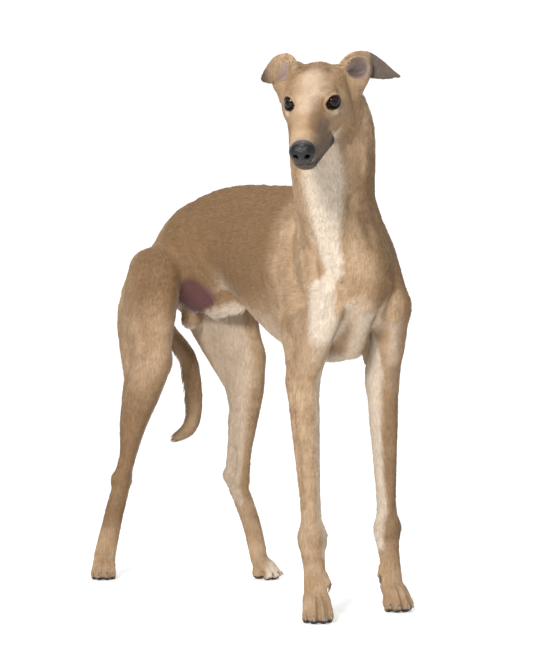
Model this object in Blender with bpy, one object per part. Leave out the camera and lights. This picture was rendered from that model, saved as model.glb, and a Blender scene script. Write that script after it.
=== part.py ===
"""A fawn greyhound standing alert, life size, parted where a person would name its parts.

The flesh is a smooth blend of swept limbs and muscles. It is meshed once, whole, and then divided into
solids by round cuts that leave a narrow gap. Metres, +Z up, the dog faces -Y and its left side is at +X.
"""

import math

import bmesh
import bpy
import numpy as np
from mathutils import Matrix, Vector
from mathutils.bvhtree import BVHTree

MM = 0.001
GAP = 0.3 * MM                      # clearance between parts that meet

# Whole-mesh resolution
VOXEL = 5.5 * MM                    # first mesh of the whole dog
FLESH_TRIANGLES = 6000              # left after the flesh is simplified
EAR_VOXEL = 1.0 * MM
EAR_TRIANGLES = 520

# Driving sizes of the dog. The pose was set out with the floor a little below zero.
FLOOR_Z = -0.010
ORIGIN = (-0.0541, -0.0079, FLOOR_Z)  # this point of the pose becomes the part's origin
ELBOW_Z = 0.382
BRISKET_Z = 0.424
CHEST_HALF = 0.090                  # ribcage, half its greatest width
ELBOW_HALF = 0.072                  # midline to elbow
EYE_RADIUS = 12.8 * MM
EYE_AT = (-1.2, 31.0, 0.8)         # on the head, millimetres, the left eye's centre
EYE_AXIS = (0.84, 0.49, 0.20)       # where the left eye looks, on the head
EYE_OPENING = (13.4, 9.8)          # millimetres, half the width and height between the lids
NOSE_AT = (118, 0, -23)
NOSE_SIZE = (22.0, 17.0)            # millimetres, half its width and height

# Where the body bends: the thorax is turned to the dog's right of the pelvis
THORAX_AT = np.array([0.009, -0.234, 0.0])
THORAX_HEADING = math.radians(-18)
HEAD_AT = np.array([-0.173, -0.392, 0.8245])    # midway between the eyes
HEAD_HEADING = math.radians(-46)
HEAD_PITCH = math.radians(-35)


# Colour and roughness of each material
LOOKS = {
    "coat": ((0.50, 0.30, 0.14), 0.75),
    "ear_left": ((0.25, 0.17, 0.11), 0.8),
    "ear_right": ((0.25, 0.17, 0.11), 0.8),
    "nose": ((0.012, 0.012, 0.014), 0.35),
    "jaw": ((0.10, 0.075, 0.055), 0.7),
    "eye": ((0.018, 0.010, 0.006), 0.05),
    "claw": ((0.05, 0.04, 0.035), 0.4),
}


def unit(v):
    v = np.asarray(v, float)
    return v / np.linalg.norm(v)


def heading(angle):
    """Unit vectors forward and left, level, for something that faces `angle` from -Y towards +X."""
    forward = np.array([math.sin(angle), -math.cos(angle), 0.0])
    left = np.array([math.cos(angle), math.sin(angle), 0.0])
    return forward, left


def thorax(ahead, left, z):
    """A point by its place on the thorax: metres ahead of the elbows, to the left, above the floor."""
    forward, side = heading(THORAX_HEADING)
    return THORAX_AT + ahead * forward + left * side + np.array([0, 0, z])


def head_axes():
    level, left = heading(HEAD_HEADING)
    up = np.array([0.0, 0.0, 1.0])
    forward = level * math.cos(HEAD_PITCH) + up * math.sin(HEAD_PITCH)
    crown = up * math.cos(HEAD_PITCH) - level * math.sin(HEAD_PITCH)
    return forward, left, crown


HEAD_AXES = head_axes()


def head(x, y, z):
    """A point on the head: millimetres forward, left and up of the point midway between the eyes."""
    forward, side, crown = HEAD_AXES
    return HEAD_AT + (x * forward + y * side + z * crown) * MM


def head_way(x, y, z):
    """A direction given forward, left and up on the head."""
    forward, side, crown = HEAD_AXES
    return unit(x * forward + y * side + z * crown)


# Joints of the legs and tail, as they stand
FORE = {
    -1: {"carpus": (-0.061, -0.242, 0.116), "paw": (-0.079, -0.276), "toes": math.radians(-30)},
    1: {"carpus": (0.108, -0.233, 0.119), "paw": (0.094, -0.265), "toes": math.radians(-14)},
}
HIND = {
    -1: {"hip": (-0.056, 0.280, 0.600), "stifle": (-0.092, 0.226, 0.415), "hock": (-0.104, 0.333, 0.182),
         "paw": (-0.138, 0.339), "toes": math.radians(-34)},
    1: {"hip": (0.066, 0.275, 0.600), "stifle": (0.090, 0.174, 0.418), "hock": (0.098, 0.210, 0.180),
        "paw": (0.108, 0.157), "toes": math.radians(38)},
}
TAIL = [(0.012, 0.345, 0.632), (0.014, 0.400, 0.606), (0.022, 0.436, 0.545), (0.038, 0.402, 0.482),
        (0.056, 0.348, 0.425), (0.052, 0.318, 0.365), (0.045, 0.302, 0.312), (0.036, 0.305, 0.280),
        (0.020, 0.325, 0.262)]
TAIL_SIZES = [0.024, 0.0205, 0.0185, 0.0180, 0.0185, 0.0190, 0.0165, 0.0150, 0.0100]


class Sweep:
    """A limb or muscle: oval sections along a line. A section has a half width, a height above and one below."""

    def __init__(self, points, widths, ups, downs=None, side=(1, 0, 0), blend=0.012, keel=0.0, ridge=0.0, steps=1):
        points = [np.asarray(p, float) for p in points]
        rows = np.array([[*p, w, u, d] for p, w, u, d in zip(points, widths, ups, downs or ups)])
        self.rows = smooth_rows(rows, steps)
        self.side = unit(side)
        self.blend, self.keel, self.ridge = blend, keel, ridge

    def distance(self, p):
        """Roughly how far each point lies outside this form."""
        best = np.full(len(p), 1.0)
        for a, b in zip(self.rows[:-1], self.rows[1:]):
            reach = max(a[3:].max(), b[3:].max()) + 0.035
            low = np.minimum(a[:3], b[:3]) - reach
            high = np.maximum(a[:3], b[:3]) + reach
            near = np.flatnonzero(((p > low) & (p < high)).all(1))
            if len(near):
                best[near] = np.minimum(best[near], self._segment(p[near], a, b))
        return best

    def across(self, along):
        """Unit vectors across the line: sideways, and upwards or, on an upright line, ahead."""
        side = unit(self.side - (self.side @ along) * along)
        up = np.cross(along, side)
        back = up[2] < 0 if abs(along[2]) < 0.9 else up[1] > 0
        return side, -up if back else up

    def _segment(self, p, a, b):
        axis = b[:3] - a[:3]
        length = np.linalg.norm(axis)
        along = axis / length
        side, up = self.across(along)
        off = p - a[:3]
        t = np.clip(off @ along / length, 0, 1)[:, None]
        size = a[3:] + (b[3:] - a[3:]) * t
        off = off - t * axis
        x, y, z = off @ side, off @ up, off @ along
        depth = np.where(y > 0, size[:, 1], size[:, 2])
        level = np.clip(y / depth, -1, 1)
        squeeze = np.where(level < 0, self.keel, self.ridge) * level**2
        width = size[:, 0] * (1 - squeeze)
        cap = np.minimum(width, depth)
        scaled = np.stack([x / width, y / depth, z / cap], 1)
        k0 = np.linalg.norm(scaled, axis=1)
        k1 = np.linalg.norm(scaled / np.stack([width, depth, cap], 1), axis=1)
        return k0 * (k0 - 1) / np.maximum(k1, 1e-6)


def smooth_rows(rows, steps):
    """Rows of numbers with `steps` spans between neighbours, on a smooth curve through all of them."""
    if steps == 1 or len(rows) < 3:
        return rows
    ends = np.vstack([2 * rows[0] - rows[1], rows, 2 * rows[-1] - rows[-2]])
    out = []
    for i in range(1, len(ends) - 2):
        p0, p1, p2, p3 = ends[i - 1 : i + 3]
        for t in np.arange(steps) / steps:
            out.append(0.5 * (2 * p1 + (p2 - p0) * t + (2 * p0 - 5 * p1 + 4 * p2 - p3) * t**2
                              + (3 * p1 - p0 - 3 * p2 + p3) * t**3))
    return np.vstack([*out, rows[-1]])


def ball(centre, radius, blend=0.012, side=(1, 0, 0), width=None, depth=None, along=(0, 0, 1), stretch=1 * MM):
    """A round or oval lump."""
    centre, along = np.asarray(centre, float), unit(along)
    half = along * stretch / 2
    return Sweep([centre - half, centre + half], [width or radius] * 2, [depth or radius] * 2, side=side, blend=blend)


def torso_forms():
    # plan place, back height, belly height, half width: from under the tail to the front of the chest
    table = [
        ((0.010, 0.345), 0.640, 0.540, 0.042),
        ((0.012, 0.310), 0.690, 0.505, 0.058),
        ((0.015, 0.250), 0.728, 0.505, 0.070),
        ((0.025, 0.175), 0.748, 0.548, 0.059),
        ((0.035, 0.095), 0.752, 0.532, 0.066),
        ((0.042, 0.010), 0.745, 0.478, 0.082),
        ((0.041, -0.070), 0.734, 0.438, CHEST_HALF),
        ((0.032, -0.145), 0.728, BRISKET_Z, 0.087),
        ((0.012, -0.225), 0.716, BRISKET_Z + 0.002, 0.074),
        ((-0.012, -0.295), 0.662, 0.446, 0.062),
        ((-0.028, -0.338), 0.585, 0.485, 0.040),
    ]
    middles = [((*plan, 0.55 * top + 0.45 * low)) for plan, top, low, _ in table]
    ups = [top - m[2] for m, (_, top, _, _) in zip(middles, table)]
    downs = [m[2] - low for m, (_, _, low, _) in zip(middles, table)]
    widths = [w for *_, w in table]
    trunk = Sweep(middles, widths, ups, downs, blend=0.02, keel=0.42, ridge=0.30, steps=3)
    sternum = Sweep([thorax(0.105, 0, 0.505), thorax(0.04, 0, 0.446), thorax(-0.10, 0, 0.446)],
                    [0.018, 0.026, 0.022], [0.020, 0.024, 0.022], blend=0.03)
    sheath = Sweep([(0.030, 0.215, 0.524), (0.031, 0.160, 0.522), (0.034, 0.118, 0.519)],
                   [0.017, 0.018, 0.013], [0.040, 0.036, 0.014], [0.022, 0.020, 0.012], blend=0.012)
    scrotum = ball((0.016, 0.268, 0.497), 0.020, blend=0.016)
    return [trunk, sternum, sheath, scrotum]


def neck_forms():
    places = [thorax(0.030, -0.008, 0.585), thorax(0.052, -0.026, 0.650), (-0.053, -0.291, 0.700),
              (-0.067, -0.306, 0.750), (-0.080, -0.320, 0.794), (-0.100, -0.334, 0.824)]
    widths = [0.066, 0.066, 0.068, 0.071, 0.071, 0.066]
    depths = [0.112, 0.094, 0.080, 0.071, 0.061, 0.047]
    side = heading(math.radians(-26))[1]
    return [Sweep(places, widths, depths, side=side, blend=0.03, steps=3)]


def head_forms():
    side = HEAD_AXES[1]
    skull = Sweep([head(-104, 0, -34), head(-84, 0, -22), head(-60, 0, -15), head(-32, 0, -11), head(6, 0, -14)],
                  [0.036, 0.046, 0.050, 0.046, 0.031], [0.037, 0.048, 0.049, 0.040, 0.029],
                  [0.034, 0.044, 0.044, 0.038, 0.034], side=side, blend=0.014, ridge=0.12, steps=3)
    muzzle = Sweep([head(-5, 0, -18), head(28, 0, -18), head(62, 0, -23), head(94, 0, -28), head(112, 0, -30)],
                   [0.034, 0.0310, 0.0272, 0.0240, 0.0208], [0.034, 0.029, 0.025, 0.022, 0.019],
                   [0.036, 0.032, 0.028, 0.022, 0.014], side=side, blend=0.016, ridge=0.22, steps=3)
    jaw = Sweep([head(-58, 0, -48), head(-15, 0, -52), head(35, 0, -52), head(78, 0, -52), head(104, 0, -52.5)],
                [0.036, 0.032, 0.0260, 0.0205, 0.0170], [0.025, 0.022, 0.015, 0.011, 0.0095], side=side, blend=0.01,
                steps=3)
    forms = [skull, muzzle, jaw]
    for s in (-1, 1):
        cheek = Sweep([head(-64, s * 36, -30), head(-30, s * 40, -26), head(6, s * 29, -22)],
                      [0.015, 0.0135, 0.009], [0.032, 0.023, 0.011], side=side, blend=0.022)
        lip = Sweep([head(34, s * 27, -47), head(62, s * 22.5, -43), head(94, s * 16, -40), head(112, s * 8.5, -39)],
                    [0.0085, 0.0090, 0.0085, 0.0075], [0.011, 0.011, 0.010, 0.009], side=side, blend=0.009)
        root = Sweep([head(-56, s * 27, 4), head(-76, s * 34, 17 - 4 * s), head(-88, s * 36, 17 - 4 * s)],
                     [0.012, 0.014, 0.012], [0.012, 0.014, 0.010], side=side, blend=0.014)
        brow = Sweep([head(-16, s * 25, 14), head(8, s * 22, 12)], [0.011, 0.009], [0.008, 0.007], side=side,
                     blend=0.014)
        x, y, z = EYE_AT
        lids = ball(head(x, s * y, z), EYE_RADIUS + 1.6 * MM, blend=0.006)
        forms += [cheek, lip, root, brow, lids]
    nose = ball(head(*NOSE_AT), NOSE_SIZE[0] * MM, along=HEAD_AXES[0], side=side, blend=0.004,
                depth=NOSE_SIZE[1] * MM, stretch=3 * MM)
    return forms + [nose]


def foreleg_forms(s):
    joints = FORE[s]
    side = heading(THORAX_HEADING)[1]
    blade = Sweep([thorax(-0.045, s * 0.036, 0.684), thorax(0.020, s * 0.056, 0.592), thorax(0.086, s * 0.058, 0.512)],
                  [0.020, 0.026, 0.028], [0.040, 0.050, 0.036], side=side, blend=0.022, steps=2)
    arm = Sweep([thorax(0.082, s * 0.059, 0.505), thorax(0.038, s * 0.067, 0.448),
                 thorax(-0.002, s * ELBOW_HALF, ELBOW_Z)],
                [0.027, 0.029, 0.025], [0.038, 0.041, 0.030], side=side, blend=0.02, steps=2)
    triceps = Sweep([thorax(-0.060, s * 0.066, 0.560), thorax(-0.050, s * 0.071, 0.480),
                     thorax(-0.042, s * 0.073, 0.420)],
                    [0.023, 0.025, 0.017], [0.044, 0.046, 0.027], side=side, blend=0.022, steps=2)
    hollow = ball(thorax(0.000, s * 0.066, 0.480), 0.026, side=side, depth=0.050, blend=0.02)
    elbow = thorax(0, s * ELBOW_HALF, ELBOW_Z)
    carpus = np.array(joints["carpus"])
    forward, left = heading(joints["toes"])
    down = carpus - elbow
    forearm = Sweep([elbow + 0.02 * unit(-down), elbow + 0.10 * down, elbow + 0.26 * down, elbow + 0.50 * down,
                     elbow + 0.80 * down, carpus - 0.01 * unit(down)],
                    [0.024, 0.0265, 0.0250, 0.0215, 0.0180, 0.0215],
                    [0.030, 0.030, 0.028, 0.0215, 0.0175, 0.0190],
                    side=side, blend=0.018, steps=3)
    paw = np.array([*joints["paw"], FLOOR_Z])
    knuckles = paw - 0.004 * forward + np.array([0, 0, 0.042])
    pastern = Sweep([carpus + [0, 0, 0.012], carpus + [0, 0, -0.014], carpus * 0.5 + knuckles * 0.5, knuckles],
                    [0.0215, 0.0215, 0.0185, 0.0205], [0.0190, 0.0180, 0.0140, 0.0130], side=left, blend=0.012, steps=3)
    stopper = ball(carpus - 0.017 * forward + [0, 0, -0.016], 0.009, blend=0.012)
    root, tip, _ = dewclaw_line(s)
    dewclaw = Sweep([root, tip], [0.0060, 0.0052], [0.0060, 0.0052], side=left, blend=0.006)
    return [blade, arm, triceps, hollow, forearm, pastern, stopper, dewclaw,
            *paw_forms(paw, forward, left, FORE_PAW)]


def dewclaw_line(s):
    """The root and tip of the small toe on the inner side of a front pastern, and the way it points."""
    carpus = np.array(FORE[s]["carpus"])
    forward, left = heading(FORE[s]["toes"])
    knuckles = np.array([*FORE[s]["paw"], FLOOR_Z + 0.042])
    share = (carpus[2] - FLOOR_Z - DEWCLAW_Z) / (carpus[2] - knuckles[2])
    middle = carpus + (knuckles - carpus) * share
    inwards = -s * left
    root = middle + 0.016 * inwards - 0.005 * forward + np.array([0, 0, 0.010])
    tip = middle + 0.0225 * inwards + 0.001 * forward - np.array([0, 0, 0.003])
    return root, tip, unit(0.4 * forward + 0.25 * inwards - np.array([0, 0, 0.9]))


def hindleg_forms(s):
    joints = HIND[s]
    hip, stifle, hock = (np.array(joints[n]) for n in ("hip", "stifle", "hock"))
    paw = np.array([*joints["paw"], FLOOR_Z])
    forward, left = heading(joints["toes"])
    side = np.array([1.0, 0, 0])
    thigh = Sweep([hip + [s * 0.008, -0.008, -0.006], hip * 0.6 + stifle * 0.4 + [s * 0.006, 0.012, 0],
                   stifle + [0, 0.012, 0.010]],
                  [0.044, 0.045, 0.033], [0.068, 0.079, 0.050], side=side, blend=0.025, steps=3)
    ham = Sweep([hip + [-s * 0.004, 0.060, -0.044], hip * 0.5 + stifle * 0.5 + [0, 0.076, -0.02],
                 stifle * 0.72 + hock * 0.28 + [s * 0.004, 0.018, 0]],
                [0.034, 0.035, 0.021], [0.034, 0.042, 0.030], side=side, blend=0.025, steps=3)
    shin = hock - stifle
    calf = np.array([s * 0.004, 0.008, 0])
    gaskin = Sweep([stifle, stifle + 0.25 * shin + calf, stifle + 0.52 * shin + calf, stifle + 0.80 * shin, hock],
                   [0.031, 0.0330, 0.0255, 0.0170, 0.0175], [0.042, 0.042, 0.031, 0.0180, 0.018],
                   side=side, blend=0.018, steps=3)
    heel = hock - 0.026 * forward + [0, 0, 0.008]
    tendon = Sweep([stifle + 0.48 * shin - 0.022 * forward, stifle + 0.8 * shin - 0.026 * forward, heel],
                   [0.010, 0.0070, 0.0100], [0.012, 0.0080, 0.0100], side=left, blend=0.012, steps=2)
    knuckles = paw - 0.004 * forward + np.array([0, 0, 0.042])
    shank = Sweep([heel, hock * 0.6 + heel * 0.4 - [0, 0, 0.012], hock * 0.45 + knuckles * 0.55, knuckles],
                  [0.0115, 0.0180, 0.0190, 0.0215], [0.0110, 0.0190, 0.0175, 0.0165], side=left, blend=0.012, steps=3)
    return [thigh, ham, gaskin, tendon, shank, *paw_forms(paw, forward, left, HIND_PAW)]


# Toes of one paw: turn from straight ahead in degrees, then millimetres ahead to the tip and across at the root
FORE_PAW, HIND_PAW = 1.0, 0.93      # sizes of the paws
TOES = [(-12, 27, -16), (-4, 37, -6.2), (4, 37, 6.2), (12, 27, 16)]
TOE_SIZE = 8.3                      # half the width of a toe
DEWCLAW_Z = 0.062                   # height of the small inner toe above the floor


def toe_line(paw, forward, left, scale, toe):
    """The toe's root, knuckle and tip, and the way it points."""
    turn, reach, across = toe
    lean = math.radians(turn)
    ahead = forward * math.cos(lean) + left * math.sin(lean)
    start = paw + left * across * 0.86 * MM * scale
    root = start - ahead * 4 * MM * scale + np.array([0, 0, 39 * MM * scale])
    knuckle = start + ahead * (reach - 19) * MM * scale + np.array([0, 0, 33 * MM * scale])
    tip = start + ahead * reach * MM * scale + np.array([0, 0, 12.5 * MM * scale])
    return root, knuckle, tip, ahead


def paw_forms(paw, forward, left, scale):
    forms = []
    for toe in TOES:
        root, knuckle, tip, ahead = toe_line(paw, forward, left, scale, toe)
        size = np.array([0.95, 1.0, 0.86]) * TOE_SIZE * MM * scale
        forms.append(Sweep([root, knuckle, tip], size, size * 1.05, side=left, blend=0.004, steps=3))
        pad = tip - ahead * 6 * MM - np.array([0, 0, 5.5 * MM])
        forms.append(ball(pad, 8 * MM * scale, blend=0.004))
    heel = paw - forward * 3 * MM + np.array([0, 0, 12 * MM])
    forms.append(Sweep([heel, heel + (forward * 3 + np.array([0, 0, 20])) * MM], np.array([18, 17]) * MM * scale,
                       np.array([15, 15]) * MM * scale, side=left, blend=0.010))
    return forms


def tail_forms():
    return [Sweep(TAIL, TAIL_SIZES, TAIL_SIZES, blend=0.010, steps=3)]


def all_forms():
    forms = torso_forms() + neck_forms() + head_forms() + tail_forms()
    for s in (-1, 1):
        forms += foreleg_forms(s) + hindleg_forms(s)
    return forms


def flesh(p, forms):
    """Below zero inside the flesh, and about the distance to its surface near it."""
    value = forms[0].distance(p)
    for form in forms[1:]:
        other, k = form.distance(p), form.blend
        mix = np.clip(0.5 + 0.5 * (other - value) / k, 0, 1)
        value = other * (1 - mix) + value * mix - k * mix * (1 - mix)
    return value


def slope(p, forms, value, step=0.4 * MM):
    grown = [flesh(p + step * axis, forms) for axis in np.eye(3)]
    gradient = (np.stack(grown, 1) - value[:, None]) / step
    return gradient / np.maximum(np.linalg.norm(gradient, axis=1, keepdims=True), 1e-3)


def apply_modifiers(obj):
    """The object's mesh becomes what its modifiers make of it."""
    graph = bpy.context.evaluated_depsgraph_get()
    made = bpy.data.meshes.new_from_object(obj.evaluated_get(graph))
    obj.modifiers.clear()
    old, obj.data = obj.data, made
    bpy.data.meshes.remove(old)


def ball_template():
    bm = bmesh.new()
    bmesh.ops.create_icosphere(bm, subdivisions=2, radius=1.0)
    corners = np.array([v.co[:] for v in bm.verts])
    faces = np.array([[v.index for v in f.verts] for f in bm.faces])
    bm.free()
    return corners, faces


def clay(forms):
    """A lump of balls strung along every form, close enough together to be fused."""
    corners, faces = ball_template()
    points, triangles = [], []
    for form in forms:
        for a, b in zip(form.rows[:-1], form.rows[1:]):
            along = unit(b[:3] - a[:3])
            side, up = form.across(along)
            smallest = min(a[3:].min(), b[3:].min())
            count = max(1, math.ceil(np.linalg.norm(b[:3] - a[:3]) / (0.5 * smallest)))
            for t in np.linspace(0, 1, count + 1):
                row = a + (b - a) * t
                size = np.array([row[3], row[4:].mean(), min(row[3], row[4:].mean())])
                centre = row[:3] + up * (row[4] - row[5]) / 2
                triangles.append(faces + len(corners) * len(points))
                points.append(centre + (corners * size) @ np.stack([side, up, along]))
    mesh = bpy.data.meshes.new("clay")
    mesh.from_pydata(np.vstack(points).tolist(), [], np.vstack(triangles).tolist())
    obj = bpy.data.objects.new("clay", mesh)
    bpy.context.scene.collection.objects.link(obj)
    return obj


def relax(points, edges, amount):
    total = np.zeros_like(points)
    count = np.zeros(len(points))
    for one, other in ((0, 1), (1, 0)):
        np.add.at(total, edges[:, one], points[edges[:, other]])
        np.add.at(count, edges[:, one], 1)
    return points + amount * (total / count[:, None] - points)


def settle(obj, forms, rounds):
    """Moves every vertex onto the surface of the flesh."""
    mesh = obj.data
    points = np.empty(len(mesh.vertices) * 3, np.float32)
    mesh.vertices.foreach_get("co", points)
    points = points.reshape(-1, 3).astype(float)
    edges = np.empty(len(mesh.edges) * 2, np.int32)
    mesh.edges.foreach_get("vertices", edges)
    edges = edges.reshape(-1, 2)
    for i in range(rounds):
        if i < rounds - 2:
            points = relax(points, edges, 0.5)
        value = flesh(points, forms)
        points -= np.clip(value, -4 * MM, 4 * MM)[:, None] * slope(points, forms, value)
    mesh.vertices.foreach_set("co", points.astype(np.float32).ravel())
    mesh.update()


def refine(obj, spots):
    """Divides the faces near each spot, a centre and radius, once more."""
    bm = bmesh.new()
    bm.from_mesh(obj.data)
    edges = set()
    for f in bm.faces:
        middle = np.array(f.calc_center_median())
        if any(np.linalg.norm(middle - c) < r for c, r in spots):
            edges.update(f.edges)
    bmesh.ops.subdivide_edges(bm, edges=list(edges), cuts=1, use_grid_fill=True)
    bmesh.ops.triangulate(bm, faces=[f for f in bm.faces if len(f.verts) > 4])
    bm.to_mesh(obj.data)
    bm.free()


def simplify(obj, triangles):
    """Collapses edges until about this many triangles are left."""
    thin = obj.modifiers.new("thin", "DECIMATE")
    thin.ratio = triangles / sum(len(f.vertices) - 2 for f in obj.data.polygons)
    apply_modifiers(obj)


def whole_flesh():
    """The dog without ears and eyes, as one closed mesh."""
    forms = all_forms()
    body = clay(forms)
    fuse = body.modifiers.new("fuse", "REMESH")
    fuse.mode = "VOXEL"
    fuse.voxel_size = VOXEL
    apply_modifiers(body)
    settle(body, forms, 5)
    spots = [(head(10, 0, -20), 0.15)]
    spots += [(np.array([*legs[s]["paw"], 0.01]), 0.07) for legs in (FORE, HIND) for s in (-1, 1)]
    refine(body, spots)
    settle(body, forms, 3)
    simplify(body, FLESH_TRIANGLES)
    return body


def solid(name, points, faces):
    """A closed mesh object with its faces turned outwards."""
    mesh = bpy.data.meshes.new(name)
    mesh.from_pydata([tuple(map(float, p)) for p in points], [], [tuple(map(int, f)) for f in faces])
    bm = bmesh.new()
    bm.from_mesh(mesh)
    bmesh.ops.recalc_face_normals(bm, faces=bm.faces)
    if bm.calc_volume(signed=True) < 0:
        bmesh.ops.reverse_faces(bm, faces=bm.faces)
    bm.to_mesh(mesh)
    bm.free()
    obj = bpy.data.objects.new(name, mesh)
    bpy.context.scene.collection.objects.link(obj)
    return obj


def tube(name, rings):
    """A closed solid through rings of points, all with the same number of points."""
    rings = np.array(rings)
    count, around = rings.shape[:2]
    points = [*rings.reshape(-1, 3), rings[0].mean(0), rings[-1].mean(0)]
    faces = []
    for i in range(count - 1):
        for j in range(around):
            k = (j + 1) % around
            faces.append((i * around + j, i * around + k, (i + 1) * around + k, (i + 1) * around + j))
    first, last = count * around, count * around + 1
    for j in range(around):
        k = (j + 1) % around
        faces.append((first, k, j))
        faces.append((last, (count - 1) * around + j, (count - 1) * around + k))
    return solid(name, points, faces)


def circle(centre, one, other, count):
    """Points round an oval with half axes `one` and `other`."""
    turns = np.arange(count) * 2 * math.pi / count
    return centre + np.outer(np.cos(turns), one) + np.outer(np.sin(turns), other)


def boolean(obj, others, operation):
    """Joins or cuts `obj` with the others, which are then removed."""
    group = bpy.data.collections.new("tools")
    for other in others:
        bpy.context.scene.collection.objects.unlink(other)
        group.objects.link(other)
    bpy.context.scene.collection.children.link(group)
    step = obj.modifiers.new("step", "BOOLEAN")
    step.operation = operation
    step.operand_type = "COLLECTION"
    step.collection = group
    step.solver = "MANIFOLD"
    apply_modifiers(obj)
    for other in others:
        bpy.data.objects.remove(other)
    bpy.data.collections.remove(group)


def round_box(name, centre, radii, axes=None, power=4, detail=2):
    """A rounded box, from an icosphere pushed out to |x|^power + |y|^power + |z|^power = 1."""
    bm = bmesh.new()
    bmesh.ops.create_icosphere(bm, subdivisions=detail, radius=1.0)
    corners = np.array([v.co[:] for v in bm.verts])
    faces = [[v.index for v in f.verts] for f in bm.faces]
    bm.free()
    corners /= (np.abs(corners) ** power).sum(1, keepdims=True) ** (1 / power)
    corners = (corners * radii) @ (np.eye(3) if axes is None else np.array(axes))
    return solid(name, corners + centre, faces)


def shell(centre, radii, axes=None, power=4, detail=2):
    """A closed cutter as thin as the gap, which parts what is inside a rounded box from what is outside."""
    radii = np.asarray(radii, float)
    outer = round_box("outer", centre, radii + GAP / 2, axes, power, detail)
    inner = round_box("inner", centre, radii - GAP / 2, axes, power, detail)
    boolean(outer, [inner], "DIFFERENCE")
    return outer


def disc(centre, normal, radius):
    """A cutter as thin as the gap, across a limb."""
    centre, normal = np.asarray(centre, float), unit(normal)
    one = unit(np.cross(normal, (0.3, 0.2, 1) if abs(normal[2]) < 0.8 else (1, 0.2, 0.1)))
    other = np.cross(normal, one)
    return tube("disc", [circle(centre + normal * h, one * radius, other * radius, 24) for h in (-GAP / 2, GAP / 2)])


def mouth_cut():
    """A ribbon as thin as the gap along the line of the mouth and down behind its corner."""
    line = [(140, -41), (112, -44.5), (92, -47.5), (68, -49.5), (46, -50), (37, -52), (31, -62), (26, -100)]
    upper = [head(x, 0, z) for x, z in line]
    side = HEAD_AXES[1] * 0.07
    points, faces = [], []
    for i, p in enumerate(upper):
        ahead = unit(upper[min(i + 1, len(upper) - 1)] - upper[max(i - 1, 0)])
        across = np.cross(HEAD_AXES[1], ahead) * GAP / 2
        points += [p - side - across, p + side - across, p + side + across, p - side + across]
    for i in range(len(upper) - 1):
        a, b = 4 * i, 4 * i + 4
        faces += [(a + j, a + (j + 1) % 4, b + (j + 1) % 4, b + j) for j in range(4)]
    faces += [(0, 1, 2, 3), tuple(4 * len(upper) - k for k in (4, 3, 2, 1))]
    return solid("mouth", points, faces)


def eye_parts(s):
    """The eyeball, and the hole it sits in with the opening between the lids."""
    x, y, z = EYE_AT
    centre = head(x, s * y, z)
    look = head_way(EYE_AXIS[0], s * EYE_AXIS[1], EYE_AXIS[2])
    crown = unit(HEAD_AXES[2] - (HEAD_AXES[2] @ look) * look)
    side = np.cross(crown, look)
    axes = (side, crown, look)
    eye = round_box("eye_left" if s > 0 else "eye_right", centre, [EYE_RADIUS] * 3, axes, 2, 3)
    socket = round_box("socket", centre, [EYE_RADIUS + GAP] * 3, axes, 2, 3)
    half, high = np.array(EYE_OPENING) * MM
    rings = [circle(centre + look * h, side * half * grow, crown * high * grow, 24)
             for h, grow in ((0.004, 0.9), (0.018, 1.05))]
    return eye, [socket, tube("opening", rings)]


def nostrils():
    cutters = []
    for s in (-1, 1):
        rings = [circle(head(x, s * y, z), HEAD_AXES[1] * size * MM, HEAD_AXES[2] * size * 0.85 * MM, 10)
                 for x, y, z, size in ((121, 6.5, -24, 2.2), (129, 8.5, -26, 3.6), (142, 11.0, -27, 5.4))]
        cutters.append(tube("nostril", rings))
    return cutters


# Ears, on the head in millimetres, the left one with y to the left. The cup is a leaning funnel: centre,
# the way its ring faces, and its half sizes. The flap hangs from a crest down to a hem.
CUP = [((-54, 30, -22), (-0.2, 0.7, 0.6), (24, 30)), ((-66, 48, -6), (0.1, 0.7, 0.65), (25, 28)),
       ((-76, 60, 9), (0.5, 0.55, 0.6), (25, 25)), ((-80, 66, 19), (0.78, 0.38, 0.5), (24.5, 21.5))]
CUP_WALL = 3.4
CUP_FLOOR = 15                      # millimetres from the rim down to the bottom of the cup
FLAP = {
    1: {"crest": [(-76, 36, 30), (-88, 44, 35), (-100, 56, 38), (-107, 70, 37), (-108, 85, 32), (-100, 104, 21),
                  (-90, 120, 10), (-83, 131, 3)],
        "hem": [(-80, 40, 8), (-86, 52, 4), (-90, 66, 0), (-90, 79, -3), (-88, 93, -5), (-86, 107, -5),
                (-84, 121, -3), (-82, 131, -1)]},
    -1: {"crest": [(-76, -30, 30), (-88, -36, 36), (-97, -45, 40), (-98, -58, 41), (-93, -71, 38), (-82, -80, 31),
                   (-71, -86, 24), (-62, -90, 17)],
         "hem": [(-80, -34, 10), (-82, -42, 6), (-82, -52, 3), (-78, -63, 2), (-72, -71, 2), (-67, -78, 3),
                 (-63, -84, 7), (-60, -90, 13)]},
}


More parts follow.
